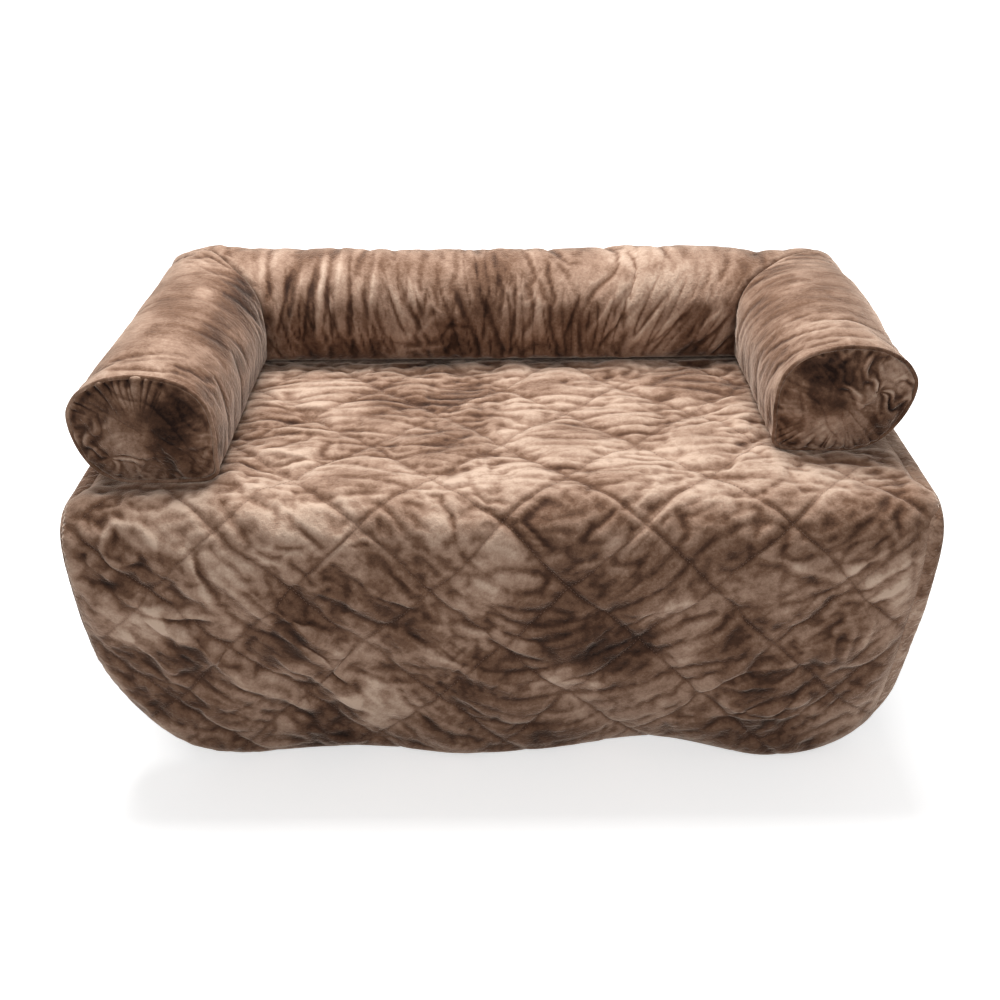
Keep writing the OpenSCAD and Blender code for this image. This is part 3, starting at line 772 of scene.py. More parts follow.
def finish_quilt():
    mesh = quilt.data
    points, out = read(mesh), read(mesh, "normal")
    u, s, _ = noted(mesh, "cloth").T
    seam = noted(mesh, "seam")
    bare = under_bolster(u, s) * ease((room_inside(u, s) - HEM_W - 2 + hem_cover(u, s)) / 22)
    lift = 1.2 * folds(u, s, MAT_FOLDS)
    seat = ease((-s + 40) / 90)
    patchy = 0.7 + 1.2 * wave(u / 110, s / 80, 6)
    bent = u + 14 * wave(u / 50, s / 50, 9)
    lift += seat * patchy * 1.0 * creases(bent / 70, (s + 0.06 * u) / 14, 5, 0.09)
    across, along = turned_place(u, s)
    lift += (1 - seat) * patchy * 0.8 * creases(along / 90, across / 19, 7, 0.09)
    away = np.hypot(u - CURL_AT[0], s - CURL_AT[1]) + 5 * wave(u / 30, s / 30, 44)
    turn = np.mod(np.arctan2(s - CURL_AT[1], u - CURL_AT[0]) + 1.2, 2 * np.pi)
    for lap in (0, 1):
        wound = turn + 2 * np.pi * lap
        off = away - CURL_START - CURL_GROWS * wound
        crest = np.exp(-(np.abs(off) / np.where(off > 0, 5, 10)) ** 1.4)
        lift += 5.0 * crest * ease((wound - 0.8) / 1.5) * ease((8.4 - wound) / 1.5)
    lift -= (0.7 - 0.4 * seat) * np.exp(-(seam / 2.2) ** 2)
    lift = 11 * np.tanh(lift / 11)
    points += out * (lift * bare)[:, None]
    write(mesh, points)
    # Painted light and shade: the seat, which faces up, and the bend over the couch's edge are
    # made paler, and a painted shadow darkens the strip under the back bolster's front.
    lie = 0.47 + 0.20 * seat + 0.15 * np.exp(-((s - 30) / 75) ** 2) - 0.30 * ease((-s - 399) / 8)
    lie += 0.18 * wave(u / 150, s / 110, 41) + 0.06 * wave(along / 90, across / 40, 42)
    for spot_u, spot_s, size, tone in MAT_SPOTS:
        near = np.hypot(u - spot_u, s - spot_s) / size
        near = near + 0.8 * wave(u / (0.6 * size), s / (0.6 * size), 43)
        lie += 1.25 * tone * (1 - ease((near - 0.5) / 0.9))
    note(mesh, "lie", lie)
    note(mesh, "hang", 1 - seat)
    note(mesh, "crumple", np.stack([bent / 60, (s + 0.06 * u) / 20, 0 * u], -1))
    note(mesh, "crumple_turned", np.stack([along / 60, across / 22, 0 * u + 5], -1))


MAT_SPOTS = [
    (-164, 368, 55, 0.28), (-480, 200, 46, 0.24), (-300, 250, 44, -0.22), (-400, 250, 44, -0.20),
    (250, 330, 60, 0.16), (500, 200, 46, 0.06), (450, 250, 34, -0.14), (-60, 130, 90, 0.10),
    (-480, 330, 60, -0.08), (0, 400, 80, -0.16), (360, 402, 70, -0.16), (480, 200, 80, 0.10),
    (150, 270, 60, -0.14), (-330, 60, 70, 0.10), (-250, 430, 60, -0.18), (80, 60, 60, -0.14),
    (-100, -320, 90, -0.12), (330, -330, 80, -0.14), (-300, -330, 70, 0.08), (200, -60, 80, 0.06),
]
finish_quilt()
note_hollows(quilt, depth=2.1, slope_light=0.45, crisp=0.3)
# The painted shade in hollows is made weaker along the seams.
note(quilt.data, "hollow", noted(quilt.data, "hollow")
     * (1 - 0.5 * np.exp(-(noted(quilt.data, "seam") / 7) ** 2)))
top_place = noted(quilt.data, "cloth")[:, :2]
quads = np.array([list(p.vertices) for p in quilt.data.polygons])
marks = {name: noted(quilt.data, name) for name in
         ("lie", "hollow", "cloth", "hang", "crumple", "crumple_turned")}
points, faces = close_under(read(quilt.data), top_place, quads, 2.4, 4, 34)
bpy.data.objects.remove(quilt)
quilt = make_piece("mat_quilt", points, faces, outward=True)
for name, values in marks.items():
    more = np.zeros((len(points) - len(values), *values.shape[1:]))
    note(quilt.data, name, np.concatenate([values, more + (0.5 if name == "lie" else 0)]))
quilt.data.materials.append(mat_plush)
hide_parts("seat_plush", "seat_wadding", "flap_plush", "flap_wadding")
print("quilt faces:", len(quilt.data.polygons))

# %% [markdown]
# ## The bolsters
# Each bolster is a sleeve of plush round loose filling. Its section is wide
# and rounded above and flat where it lies on the mat, and at the two back
# corners the sleeves are cut on the slant and sewn together. A closed curve
# through the section's corners gives a smooth ring, and rings along the
# bolster's length give the tube, in the same frame as the CAD solid.

# %% Section of a bolster
BOLSTER_W, BOLSTER_H, BASE_Z = 187.0, 153.0, 18.3
ARM_X, CORNER_Y = 456.5, 201.0
MITRE_GAP = 0.4
RING_POINTS = 84
LEFT_FRONT, RIGHT_FRONT = -259.5, -185.5
RING = np.array([
    [-.26, 0], [-.62, .02], [-.88, .13], [-.99, .34], [-.98, .6], [-.9, .76],
    [-.7, .89], [-.38, .97], [0, 1], [.42, .97], [.76, .87], [.94, .74], [1, .62],
    [1, .32], [.88, .12], [.62, .02], [.26, 0]])


def bolster_ring(count, inset=0.0):
    """Points round the section, evenly spaced, starting underneath."""
    corners = RING * [BOLSTER_W / 2 - inset, BOLSTER_H - 2 * inset] + [0, BASE_Z + inset]
    fine = []
    for k in range(len(corners)):
        p0, p1, p2, p3 = (corners[(k + d) % len(corners)] for d in (-1, 0, 1, 2))
        t = np.linspace(0, 1, 24, endpoint=False)[:, None]
        fine.append(0.5 * (2 * p1 + (p2 - p0) * t + (2 * p0 - 5 * p1 + 4 * p2 - p3) * t ** 2
                           + (3 * p1 - p0 - 3 * p2 + p3) * t ** 3))
    fine = np.concatenate(fine)
    fine = np.concatenate([fine, fine[:1]])
    run = np.concatenate([[0], np.cumsum(np.linalg.norm(np.diff(fine, axis=0), axis=1))])
    even = np.linspace(0, run[-1], count, endpoint=False)
    return np.stack([np.interp(even, run, fine[:, k]) for k in (0, 1)], -1), run[-1]


ring, ring_length = bolster_ring(RING_POINTS)
print("length round a bolster:", round(ring_length), "mm")

# %% Place of a ring's point
def lean_in(p, q, side, share=1.0):
    """Low inside a bolster is full, as it sags on the mat, and towards its
    front end an arm is undercut outside."""
    low = (q - BASE_Z) / BOLSTER_H
    under = (16.0 if side < 0 else 27.0) * ease((p + 10) / 60) * (1 - ease((low + 0.02) / 0.66))
    sag = np.exp(-(low / 0.16) ** 2)
    full = 20.0 * ease((-p - 25) / 35) - (1 - share) * 14.0 * ease((p - 25) / 35)
    return p - share * under - full * sag


def arm_place(p, q, along, side, front):
    """A point of an arm: p and q in the section, along from front to mitre."""
    p = lean_in(p, q, side, 1 - ease(along))
    back = CORNER_Y + p - MITRE_GAP
    return np.stack([side * (ARM_X + p), front + along * (back - front), q + 0 * along], -1)


def back_place(p, q, across):
    """A point of the back bolster, across from -1 to 1 between the mitres."""
    p = lean_in(p, q, 1, 0.0)
    return np.stack([across * (ARM_X + p - MITRE_GAP), CORNER_Y + p + 0 * across,
                     q + 0 * across], -1)


def sleeve_faces(stations, count):
    """A tube that is closed at both ends by a fan round one more point."""
    faces = tube_faces(stations, count)
    first, last = stations * count, stations * count + 1
    for m in range(count):
        n = (m + 1) % count
        faces.append((first, n, m))
        faces.append((last, (stations - 1) * count + m, (stations - 1) * count + n))
    return faces


print("faces of a sleeve of 3 rings of 8:", len(sleeve_faces(3, 8)))

# %% [markdown]
# ## Wrinkles of the bolsters
# A sleeve is longer than the filling keeps it, so it folds across its length:
# upright folds on the back bolster, hoops on the arms, and a fan of fine
# creases where the right arm meets the back. The start shape has a trace of
# them, and the simulation with cloth to spare makes them real.

# %% Build and stuff a bolster
SEAM_W = 5.0


def zip_band(points):
    """1 along the zip at the back, where the sleeve stays flat behind its tapes."""
    x, y, z = points.T
    return ease((318 - np.abs(x)) / 16) * ease((30 - np.abs(z - 90)) / 12) * (y > 230)


def settled(points):
    """The two back corners: the left one stands up, and the right one sags
    and bulges outwards."""
    x, y, z = points.T
    upper = ease((z - 90) / 60)
    corner = np.exp(-((x + 446) / 42) ** 2 - ((y - 206) / 42) ** 2)
    right = ease((x - 330) / 90) * ease((y - 90) / 80)
    bulge = ease((x - 440) / 70) * ease((y + 90) / 110) * ease((z - 20) / 40)
    return points + np.stack([12 * bulge, 0 * x, upper * (10 * corner - 8 * right)], -1)


def build_bolster(name, place, stations, trace, spare, nodes, cap, shape_after, lie_of, slope_light,
                  depth=2.0, crisp=0.35):
    """Makes the sleeve's start shape, lets it wrinkle and notes its tones.
    trace and shape_after are folds put on before and after the simulation."""
    count = RING_POINTS
    ring, length = bolster_ring(count, 2.0)
    t = np.repeat(np.linspace(0, 1, stations), count)
    m = np.tile(np.arange(count), stations)
    p, q = ring[m, 0], ring[m, 1]
    round_mm = m / count * length
    points = place(p, q, t)
    middle = np.array([0, BASE_Z + BOLSTER_H * 0.5])
    ends = np.stack([place(np.zeros(1), np.full(1, middle[1]), np.full(1, e))[0]
                     for e in (0.0, 1.0)])
    piece = make_piece(name, np.concatenate([points, ends]), sleeve_faces(stations, count),
                       outward=True)
    mesh = piece.data
    keep_corners(mesh, [np.arange(count), np.arange(count) + count * (stations - 1)])
    out = read(mesh, "normal")[:-2]
    length_mm = np.linalg.norm(points[-count:][m] - points[:count][m], axis=1)
    from_front, from_end = t * length_mm, (1 - t) * length_mm
    at_zip = zip_band(points) if name == "back_bolster" else 0 * p
    free = ease(np.minimum(from_front, from_end) / 30) * ease((q - BASE_Z - 6) / 26) * (1 - at_zip)
    at = SimpleNamespace(p=p, round=round_mm, front=from_front, back=from_end,
                         x=points[:, 0], z=points[:, 2])
    points = points + out * (free * trace(at))[:, None]
    write(mesh, np.concatenate([points, ends]))
    held = (np.minimum(from_front, from_end) < SEAM_W) | (q < BASE_Z + 9) | (at_zip > 0.5)
    held = np.concatenate([held, [True, True]])
    cloth = np.concatenate([np.stack([from_front, round_mm, from_end], -1), np.zeros((2, 3))])
    note(mesh, "cloth", cloth)
    note(mesh, "section", np.concatenate([np.stack([p, q, free], -1), np.zeros((2, 3))]))
    stuff(piece, held, spare, pressure=1.2, bending=0.04, cap=cap)
    refine(piece)
    mesh = piece.data
    front, around, back = noted(mesh, "cloth").T
    p, _, free = noted(mesh, "section").T
    x, _, z = read(mesh).T
    at = SimpleNamespace(p=p, round=around, front=front, back=back, x=x, z=z)
    write(mesh, settled(read(mesh) + read(mesh, "normal") * (free * shape_after(at))[:, None]))
    note(mesh, "lie", lie_of(at))
    along = fanned(x, z) if name == "back_bolster" else front + 0.2 * (z - 60)
    note(mesh, "crumple", np.stack([around / 80, along / 20, 0 * x + 9], -1))
    note_hollows(piece, depth=depth, slope_light=slope_light, crisp=crisp)
    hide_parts(*nodes)
    return piece


def fanned(x, z):
    """Along the back bolster, leaning with its folds: upright on the left,
    and up to the right on the right."""
    return x - (0.7 * ease((x - 60) / 220) - 0.12) * (z - 70)


def calm(at):
    """The back bolster lies smoother on its rear side, and towards its top."""
    rear = 0.25 + 0.75 * ease((70 - at.p) / 70)
    top = 1 - 0.7 * ease((at.z + 30 * wave(at.x / 50, 0.7, 59) - 85) / 80)
    return rear, top


def back_trace(at):
    left = 0.7 + 0.5 * ease((-at.x + 60) / 300)
    fan = fanned(at.x, at.z) + 16 * wave(at.x / 120, at.z / 60, 51)
    bent = at.round + 30 * wave(at.x / 60, at.round / 90, 50)
    rear, top = calm(at)
    return rear * left * top * (5.0 * creases(fan / 50, bent / 260, 52, 0.06)
                                + 2.6 * creases(fan / 28, bent / 170, 53, 0.06) - 5.2)


BACK_FOLDS = [
    (-330, 60, -300, 180, 7, 9), (-288, 50, -270, 190, 6, 9), (-250, 50, -248, 200, 6, 8),
    (-205, 60, -190, 190, 7, 9), (-160, 40, -70, 60, 7, 7), (-180, 66, -90, 40, 6, -4),
    (-130, 70, -90, 110, 6, 5), (-110, 130, -80, 96, 6, 5), (-70, 120, -60, 70, 5, 5),
    (-96, 90, -40, 84, 5, -5), (0, 40, 14, 170, 7, 5), (36, 40, 40, 180, 6, -4),
    (62, 36, 58, 180, 7, 5), (120, 50, 190, 150, 7, 7), (190, 40, 260, 130, 7, 7),
    (270, 40, 350, 120, 7, 8), (320, 34, 366, 90, 6, 7), (230, 70, 330, 150, 8, 5),
    (-350, 60, -322, 170, 4, -6), (-312, 44, -284, 176, 4, -7), (-268, 170, -258, 50, 4, -7),
    (-232, 180, -226, 56, 4, -6), (-214, 150, -188, 60, 4, -6), (-180, 160, -140, 56, 4, -7),
    (-146, 130, -104, 50, 4, -5), (-100, 60, -60, 110, 4, -4), (-30, 50, -18, 150, 4, -5),
    (24, 170, 22, 60, 4, -5), (50, 150, 44, 70, 4, -4), (96, 60, 124, 140, 4, -5),
    (150, 46, 204, 120, 4, -6), (226, 44, 296, 116, 4, -6), (296, 40, 362, 108, 4, -6),
]


def back_after(at):
    inner = ease((-at.p + 60) / 80)
    lift = folds(at.x, at.z, BACK_FOLDS) * inner * 0.56
    patchy = 0.8 + 1.3 * wave(at.x / 90, at.z / 60, 55)
    rear, top = calm(at)
    fine = creases(fanned(at.x, at.z) / 20, at.round / 150, 54, 0.07) - 0.7
    lift += 2.2 * rear * top * patchy * fine
    upper = ease((at.z - 90) / 60) * ease((385 - np.abs(at.x)) / 60)
    swell = 7 * np.exp(-((at.x - 240) / 75) ** 2) + 4 * wave(at.x / 150, 0.4, 58)
    return lift + upper * (swell - 2.0)


def blotches(x, y, seed, *sizes):
    """Patches of tone, each size given as its strength, length and width."""
    return sum(strength * wave(x / long, y / wide, seed + k)
               for k, (strength, long, wide) in enumerate(sizes))


def back_lie(at):
    lie = 0.52 + blotches(at.x, at.round, 56, (0.16, 70, 110), (0.14, 28, 60))
    spots = 0.14 * np.exp(-((at.x - 240) / 60) ** 2) - 0.10 * np.exp(-((at.x + 30) / 60) ** 2)
    spots += 0.10 * np.exp(-((at.x + 165) / 45) ** 2) - 0.16 * np.exp(-((at.x + 293) / 24) ** 2)
    # Painted light and shade: paler towards the top, and darker low down near the mat.
    return lie + spots + 0.06 * ease((at.z - 100) / 40) - 0.16 * ease((80 - at.z) / 50)


def arm_trace(at):
    hoops = at.front + 14 * wave(at.front / 120, at.round / 120, 61)
    near_back = ease((110 - at.back) / 110)
    near_cap = ease((70 - at.front) / 50) * ease((at.z - 120) / 30)
    wide = creases(hoops / 64, at.round / 240, 62, 0.14) - 0.7
    return ((0.2 + 0.7 * near_back + 0.5 * near_cap) * 3.6 * wide
            + near_back * 3.4 * (creases(at.back / 22, at.round / 260, 63, 0.12) - 0.7)
            + near_cap * 2.4 * (creases(at.front / 24, at.round / 150, 75, 0.12) - 0.7))


def right_trace(at):
    fan = at.front + 0.25 * (at.z - 60) + 10 * wave(at.front / 90, at.round / 90, 64)
    inner = ease((20 - at.p) / 80)
    near_back = ease((170 - at.back) / 150)
    share = 0.1 + 0.35 * inner + 0.7 * near_back
    return share * (3.0 * (creases(fan / 30, at.round / 260, 65, 0.11) - 0.7)
                    + 2.6 * (creases(at.front / 50, at.round / 200, 66, 0.12) - 0.7))


def arm_after(at):
    gather = ridges(at.round / 13, 0.5 + 0 * at.round, 67) * np.exp(-at.front / 20)
    near_back = 0.3 + 1.5 * ease((130 - at.back) / 110)
    fine = near_back * creases(at.front / 19, at.round / 130, 68, 0.12)
    return 0.8 * gather + fine * (0.6 + 1.2 * wave(at.front / 80, at.round / 80, 69))


def left_lie(at):
    lie = 0.56 + blotches(at.front, at.round, 70, (0.14, 80, 100), (0.12, 30, 50))
    # Painted shade: darker towards the back bolster and on the inner face, which looks onto the
    # seat.
    return lie + 0.04 - 0.14 * ease((110 - at.back) / 100) - 0.26 * ease((-25 - at.p) / 50)


def right_lie(at):
    lie = 0.56 + blotches(at.front, at.round, 72, (0.14, 70, 100), (0.14, 26, 60))
    # Painted shade: darker low on the inner face.
    return lie - 0.12 * ease((40 - at.p) / 80) * ease((110 - at.z) / 60)


left_arm = build_bolster(
    "left_arm", lambda p, q, t: arm_place(p, q, t, -1, LEFT_FRONT), 68, arm_trace,
    0.015, ["left_arm_sleeve", "left_arm_filling"], 8.0, arm_after, left_lie, 0.3)
right_arm = build_bolster(
    "right_arm", lambda p, q, t: arm_place(p, q, t, 1, RIGHT_FRONT), 60, right_trace,
    0.02, ["right_arm_sleeve", "right_arm_filling"], 8.0, arm_after, right_lie, 0.3)
back_bolster = build_bolster(
    "back_bolster", lambda p, q, t: back_place(p, q, 2 * t - 1), 140, back_trace,
    0.045, ["back_sleeve", "back_filling"], 9.0, back_after, back_lie, 0.12, depth=2.6,
    crisp=0.45)
for piece, finish in (
        (left_arm, plush("left_arm_plush", pull=(1.2, 0.9, 1.0), seed=3.1, crumple=0.2,
                         sheen=0.6)),
        (right_arm, plush("right_arm_plush", pull=(1.2, 0.9, 1.0), seed=5.3, crumple=0.25,
                          sheen=0.7)),
        (back_bolster, plush("back_plush", patches=0.2, pull=(1.7, 1.0, 0.8), seed=8.7,
                             crumple=0.15))):
    piece.data.materials.append(finish)
    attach(piece, "bed")

# %% [markdown]
# ## End panels and piping
# The front of each arm is closed by a round panel, gathered into a corded
# piping. The gathers are short pleats that run in from the rim. On the right
# panel the cloth is pinched at one spot, which throws a star of small creases.

# %% Build an end panel
def build_panel(name, side, front, swirl, node, spots, gathered):
    """A disc of rings that bulges forwards. swirl holds the pinches, spots the
    pale and dark patches, and gathered says where its rim has pleats."""
    count, rings = 132, 26
    ring, length = bolster_ring(count, 4.2)
    ring[:, 0] = lean_in(ring[:, 0], ring[:, 1], side)
    middle = np.array([-4.0, BASE_Z + BOLSTER_H * 0.5])
    share = np.repeat(np.linspace(1, 0, rings, endpoint=False), count)
    m = np.tile(np.arange(count), rings)
    p = middle[0] + (ring[m, 0] - middle[0]) * share
    q = middle[1] + (ring[m, 1] - middle[1]) * share
    bulge = 14.5 * (1 - share ** 2.4) ** 0.75
    x = side * (ARM_X + p)
    trace = 0.7 * ridges(x / 34, q / 30, 81 + side) * ease((1 - share) / 0.3)
    points = np.stack([x, front - 1.0 - bulge - trace, q], -1)
    centre, back_mid = (np.array([[side * (ARM_X + middle[0]), front - out, middle[1]]])
                        for out in (15.5, 0.4))
    rim_back = points[:count] + [0, 0.6, 0]
    all_points = np.concatenate([points, centre, rim_back, back_mid])
    faces = tube_faces(rings, count)
    mid, shift = rings * count, rings * count + 1
    last = mid + 1 + count
    for a in range(count):
        b = (a + 1) % count
        faces.append(((rings - 1) * count + a, (rings - 1) * count + b, mid))
        faces.append((a, shift + a, shift + b, b))
        faces.append((shift + a, last, shift + b))
    piece = make_piece(name, all_points, faces, outward=True)
    mesh = piece.data
    keep_corners(mesh, [np.arange(count), np.arange(count) + shift])
    held = np.ones(len(all_points), bool)
    held[:mid + 1] = np.concatenate([share, [0]]) > 0.985
    note(mesh, "disc", np.concatenate([
        np.stack([share, m / count * length, p], -1), [[0, 0, 0]],
        np.stack([np.ones(count) * 1.2, np.zeros(count), ring[:, 0]], -1), [[1.2, 0, 0]]]))
    stuff(piece, held, 0.05, pressure=1.2, bending=0.04, cap=5.0)
    refine(piece)
    mesh = piece.data
    share, around, _ = noted(mesh, "disc").T
    points, out = read(mesh), read(mesh, "normal")
    x, _, z = points.T
    live = ease((1.1 - share) / 0.02)
    depth_in = np.maximum(1 - share, 0) * 80
    pleats = creases(around / 15, 0.5 + depth_in / 200, 84, 0.16) * np.exp(-(depth_in / 26) ** 1.6)
    lift = 3.6 * gathered(x, z) * pleats * ease((1.02 - share) / 0.05)
    inside = ease((1 - share) / 0.3)
    lift += 2.0 * creases((x + 0.7 * z) / 40, (x - z) / 100, 85, 0.2) * inside
    for spot_x, spot_z, size, height in swirl:
        away = np.hypot(x - spot_x, z - spot_z)
        turn = np.arctan2(z - spot_z, x - spot_x)
        turn = turn + 0.9 * wave(x / 22, z / 22, 89)
        rays = np.sin(5 * turn + 2.0 * np.sin(2 * turn + 1) + away / 9)
        lift += height * (0.7 * rays * (away / size) * 2 * np.exp(-away / size)
                          - 1.2 * np.exp(-(away / (0.35 * size)) ** 2))
    write(mesh, points + out * (lift * live)[:, None])
    lie = 0.45 + 0.04 * side + 0.12 * wave(x / 50, z / 50, 86 + side)
    lie += 0.10 * wave(x / 20, z / 20, 87)
    for spot_x, spot_z, size, tone in spots:
        near = np.hypot(x - spot_x, z - spot_z) / size + 0.7 * wave(x / 24, z / 24, 88)
        lie += tone * (1 - ease((near - 0.5) / 0.7))
    note(mesh, "lie", lie)
    note(mesh, "crumple", np.stack([(x - z) / 50, (x + 0.7 * z) / 20, 0 * x + 3], -1))
    note_hollows(piece, crisp=0.5)
    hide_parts(node)
    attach(piece, "bed")
    return piece


left_panel = build_panel("left_panel", -1, LEFT_FRONT, [(-500, 60, 26, 2.0)], "left_end_panel",
                         [(-408, 112, 40, -0.26), (-500, 120, 36, 0.10), (-470, 40, 26, 0.08)],
                         lambda x, z: 0.15 + ease((z - 112) / 24) * ease((-x - 400) / 40))
right_panel = build_panel("right_panel", 1, RIGHT_FRONT, [(500, 108, 26, 3.2)], "right_end_panel",
                          [(425, 122, 40, -0.30), (445, 52, 34, 0.20),
                           (515, 80, 24, -0.14), (515, 130, 30, 0.16)],
                          lambda x, z: 0.2 + 0.7 * ease((56 - z) / 20))
for piece, seed in ((left_panel, 11.3), (right_panel, 14.9)):
    piece.data.materials.append(plush(piece.name + "_plush", patches=0.3, seed=seed,
                                      pull=(1.3, 1, 1.3), crumple=0.3))

# %% Sweep a round cord
def sweep(name, path, thick, count):
    """A closed round cord along a path of points, as thick as is said at each."""
    ahead = np.roll(path, -1, 0) - np.roll(path, 1, 0)
    ahead /= np.linalg.norm(ahead, axis=1)[:, None]
    side = np.cross(ahead, [0.0, 1.0, 0.0])
    side /= np.linalg.norm(side, axis=1)[:, None]
    up = np.cross(side, ahead)
    turn = np.linspace(0, 2 * np.pi, count, endpoint=False)
    points = (path[:, None] + thick[:, None, None] * (side[:, None] * np.cos(turn)[:, None]
              + up[:, None] * np.sin(turn)[:, None])).reshape(-1, 3)
    return make_piece(name, points, tube_faces(len(path), count, closed=True), outward=True)


PIPING_POINTS, PIPING_R = 220, 2.9
piping_plush = plush("piping_plush", lie=0.02, streaks=0.2, seed=2.2, crumple=0.0)
for name, side, front, node in (("left_piping", -1, LEFT_FRONT, "left_end_piping"),
                                ("right_piping", 1, RIGHT_FRONT, "right_end_piping")):
    ring, length = bolster_ring(PIPING_POINTS, 2.6)
    ring[:, 0] = lean_in(ring[:, 0], ring[:, 1], side)
    run = np.arange(PIPING_POINTS) / PIPING_POINTS * length
    path = np.stack([side * (ARM_X + ring[:, 0]), front - 3.0 + 0.9 * wave(run / 30, 0.4, 90),
                     ring[:, 1]], -1)
    thick = PIPING_R + 0.3 * wave(run / 12, 0.7, 91)
    piping = sweep(name, path, thick, 12)
    note(piping.data, "lie", np.full(len(piping.data.vertices), 0.46))
    note(piping.data, "hollow", np.zeros(len(piping.data.vertices)))
    piping.data.materials.append(piping_plush)
    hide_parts(node)
    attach(piping, "bed")
print("piping length:", round(length), "mm")

# %% [markdown]
# ## The hem
# A strip of the same plush is folded round the mat's edge and sewn down. It is
# one closed band: a section that is rounded outside and thins towards its
# stitching, carried round the outline. Sewing pulls it in, so it puckers.

# %% Outline of the mat
def outline(spacing=5.0):
    """Points round the mat's edge on the flat mat, and the way inward."""
    rows = []

    def straight(u0, s0, u1, s1, way):
        count = max(2, int(math.hypot(u1 - u0, s1 - s0) / spacing))
        for t in np.linspace(0, 1, count, endpoint=False):
            rows.append((u0 + (u1 - u0) * t, s0 + (s1 - s0) * t, *way))

    def corner(u, s, r, a0, a1):
        count = int(abs(a1 - a0) * r / spacing)
        for a in np.linspace(a0, a1, count, endpoint=False):
            rows.append((u + r * math.cos(a), s + r * math.sin(a), -math.cos(a), -math.sin(a)))

    left, right = LEFT_CORNER_R, RIGHT_CORNER_R
    straight(-HALF_W, -REST_DEPTH, -HALF_W, END_S - left, (1, 0))
    corner(-HALF_W + left, END_S - left, left, math.pi, math.pi / 2)
    straight(-HALF_W + left, END_S, HALF_W - right, END_S, (0, -1))
    corner(HALF_W - right, END_S - right, right, math.pi / 2, 0)
    straight(HALF_W, END_S - right, HALF_W, -REST_DEPTH, (-1, 0))
    straight(HALF_W, -REST_DEPTH, -HALF_W, -REST_DEPTH, (0, 1))
    return np.array(rows).T


edge_u, edge_s, in_u, in_s = outline()
edge_run = np.concatenate([[0], np.cumsum(np.hypot(np.diff(edge_u), np.diff(edge_s)))])
print("edge of the mat:", round(edge_run[-1]), "mm")


def inward(d):
    """Places a distance d in from the edge, kept square at the back corners."""
    u, s = edge_u + in_u * d, edge_s + in_s * d
    return np.clip(u, -HALF_W + d, HALF_W - d), np.maximum(s, -REST_DEPTH + d)


# %% Hem band
HEM_SECTION = [(30.5, 6.0), (27.5, 10.6), (25.5, 11.2), (23.5, 10.4), (21, 12.2), (14, 13.0),
               (7, 12.6), (3, 11.0), (0.8, 8.6), (0, 6), (0.8, 2.6), (3, 0.6), (8, 0.0),
               (18, 0.0), (27, 0.0), (30.5, 1.6)]
rows = []
lower = ease((edge_s - 60) / 200)
for d, h in HEM_SECTION:
    u, s = inward(d)
    outer = ease((20 - d) / 20)
    pucker = 0.8 * wave(edge_run / 9, 0.3, 92) + 0.8 * wave(edge_run / 22, 0.6, 93)
    pucker = pucker * (1 if h > 7 else 0)
    sway = 1.5 * wave(edge_run / 60, 0.2, 94) + 0.8 * wave(edge_run / 17, 0.2, 95)
    sway = outer * sway * (0.4 + lower)
    lift = h + pucker * (1 if 2 < d < 27 else 0.4)
    rows.append(on_mat(u + sway * in_u, s + sway * in_s, lift))
band = np.stack(rows, 1)
hem = make_piece("mat_hem", band.reshape(-1, 3),
                 tube_faces(len(band), len(HEM_SECTION), closed=True), outward=True)
refine(hem)
note(hem.data, "lie", 0.49 + 0.12 * ease((read(hem.data)[:, 0] - 500) / 40))
note(hem.data, "crumple", read(hem.data) / 14.0)
note_hollows(hem, rounds=8, depth=1.0)
hem.data.materials.append(plush("hem_plush", streaks=0.2, seed=21.0))
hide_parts("seat_hem_left", "seat_hem_back", "seat_hem_right", "flap_hem")
print("hem faces:", len(hem.data.polygons))

# %% [markdown]
# ## The underside
# Under the mat is a plain woven backing with rows of small rubber dots that
# keep it from sliding on the couch. The backing is a thin closed sheet, and the
# dots are one low dome repeated over it by Geometry Nodes.

# %% Backing
back_u, back_s, _, _, back_faces = lattice(6, 18)
top = on_mat(back_u, back_s, 2.2)
points = np.concatenate([top, on_mat(back_u, back_s, 0.5)])
shift = len(top)
loop = rim_of(back_faces)
faces = [tuple(f) for f in back_faces] + [tuple(f[::-1] + shift) for f in back_faces]
faces += [(a, b, b + shift, a + shift) for a, b in zip(loop, loop[1:] + loop[:1])]
backing = make_piece("mat_backing", points, faces, outward=True)
woven, tree, skin = new_material("backing_weave")
place = add(tree, "ShaderNodeTexCoord").outputs["Object"]
threads = [add(tree, "ShaderNodeTexWave", {"Vector": place, "Scale": 420.0, "Distortion": 0.6},
               bands_direction=way).outputs["Fac"] for way in ("X", "DIAGONAL")]
cloudy = noise(tree, place, 14.0, 4.0)
weave = sums(tree, "MULTIPLY", *threads)
tone = sums(tree, "ADD", sums(tree, "MULTIPLY", weave, 0.4), sums(tree, "MULTIPLY", cloudy, 0.6))
tree.links.new(ramp(tree, tone, [(0.1, (58, 44, 36)), (0.9, (98, 78, 66))]),
               skin.inputs["Base Color"])
tree.links.new(bump(tree, weave, 0.4, 0.0004), skin.inputs["Normal"])
skin.inputs["Roughness"].default_value = 0.85
backing.data.materials.append(woven)
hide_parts("seat_backing", "flap_backing")
print("backing points:", len(points))

# %% [markdown]
# ## Stitches and dots
# A stitch is a short bead of thread and a grip dot is a low dome, so one small
# Geometry Nodes tree does both. It takes a set of points that carry the way
# each bead lies and the way it faces, puts a little ball there, stretches it to
# its length, width and height, and makes all of them real geometry, because the
# export drops instances.

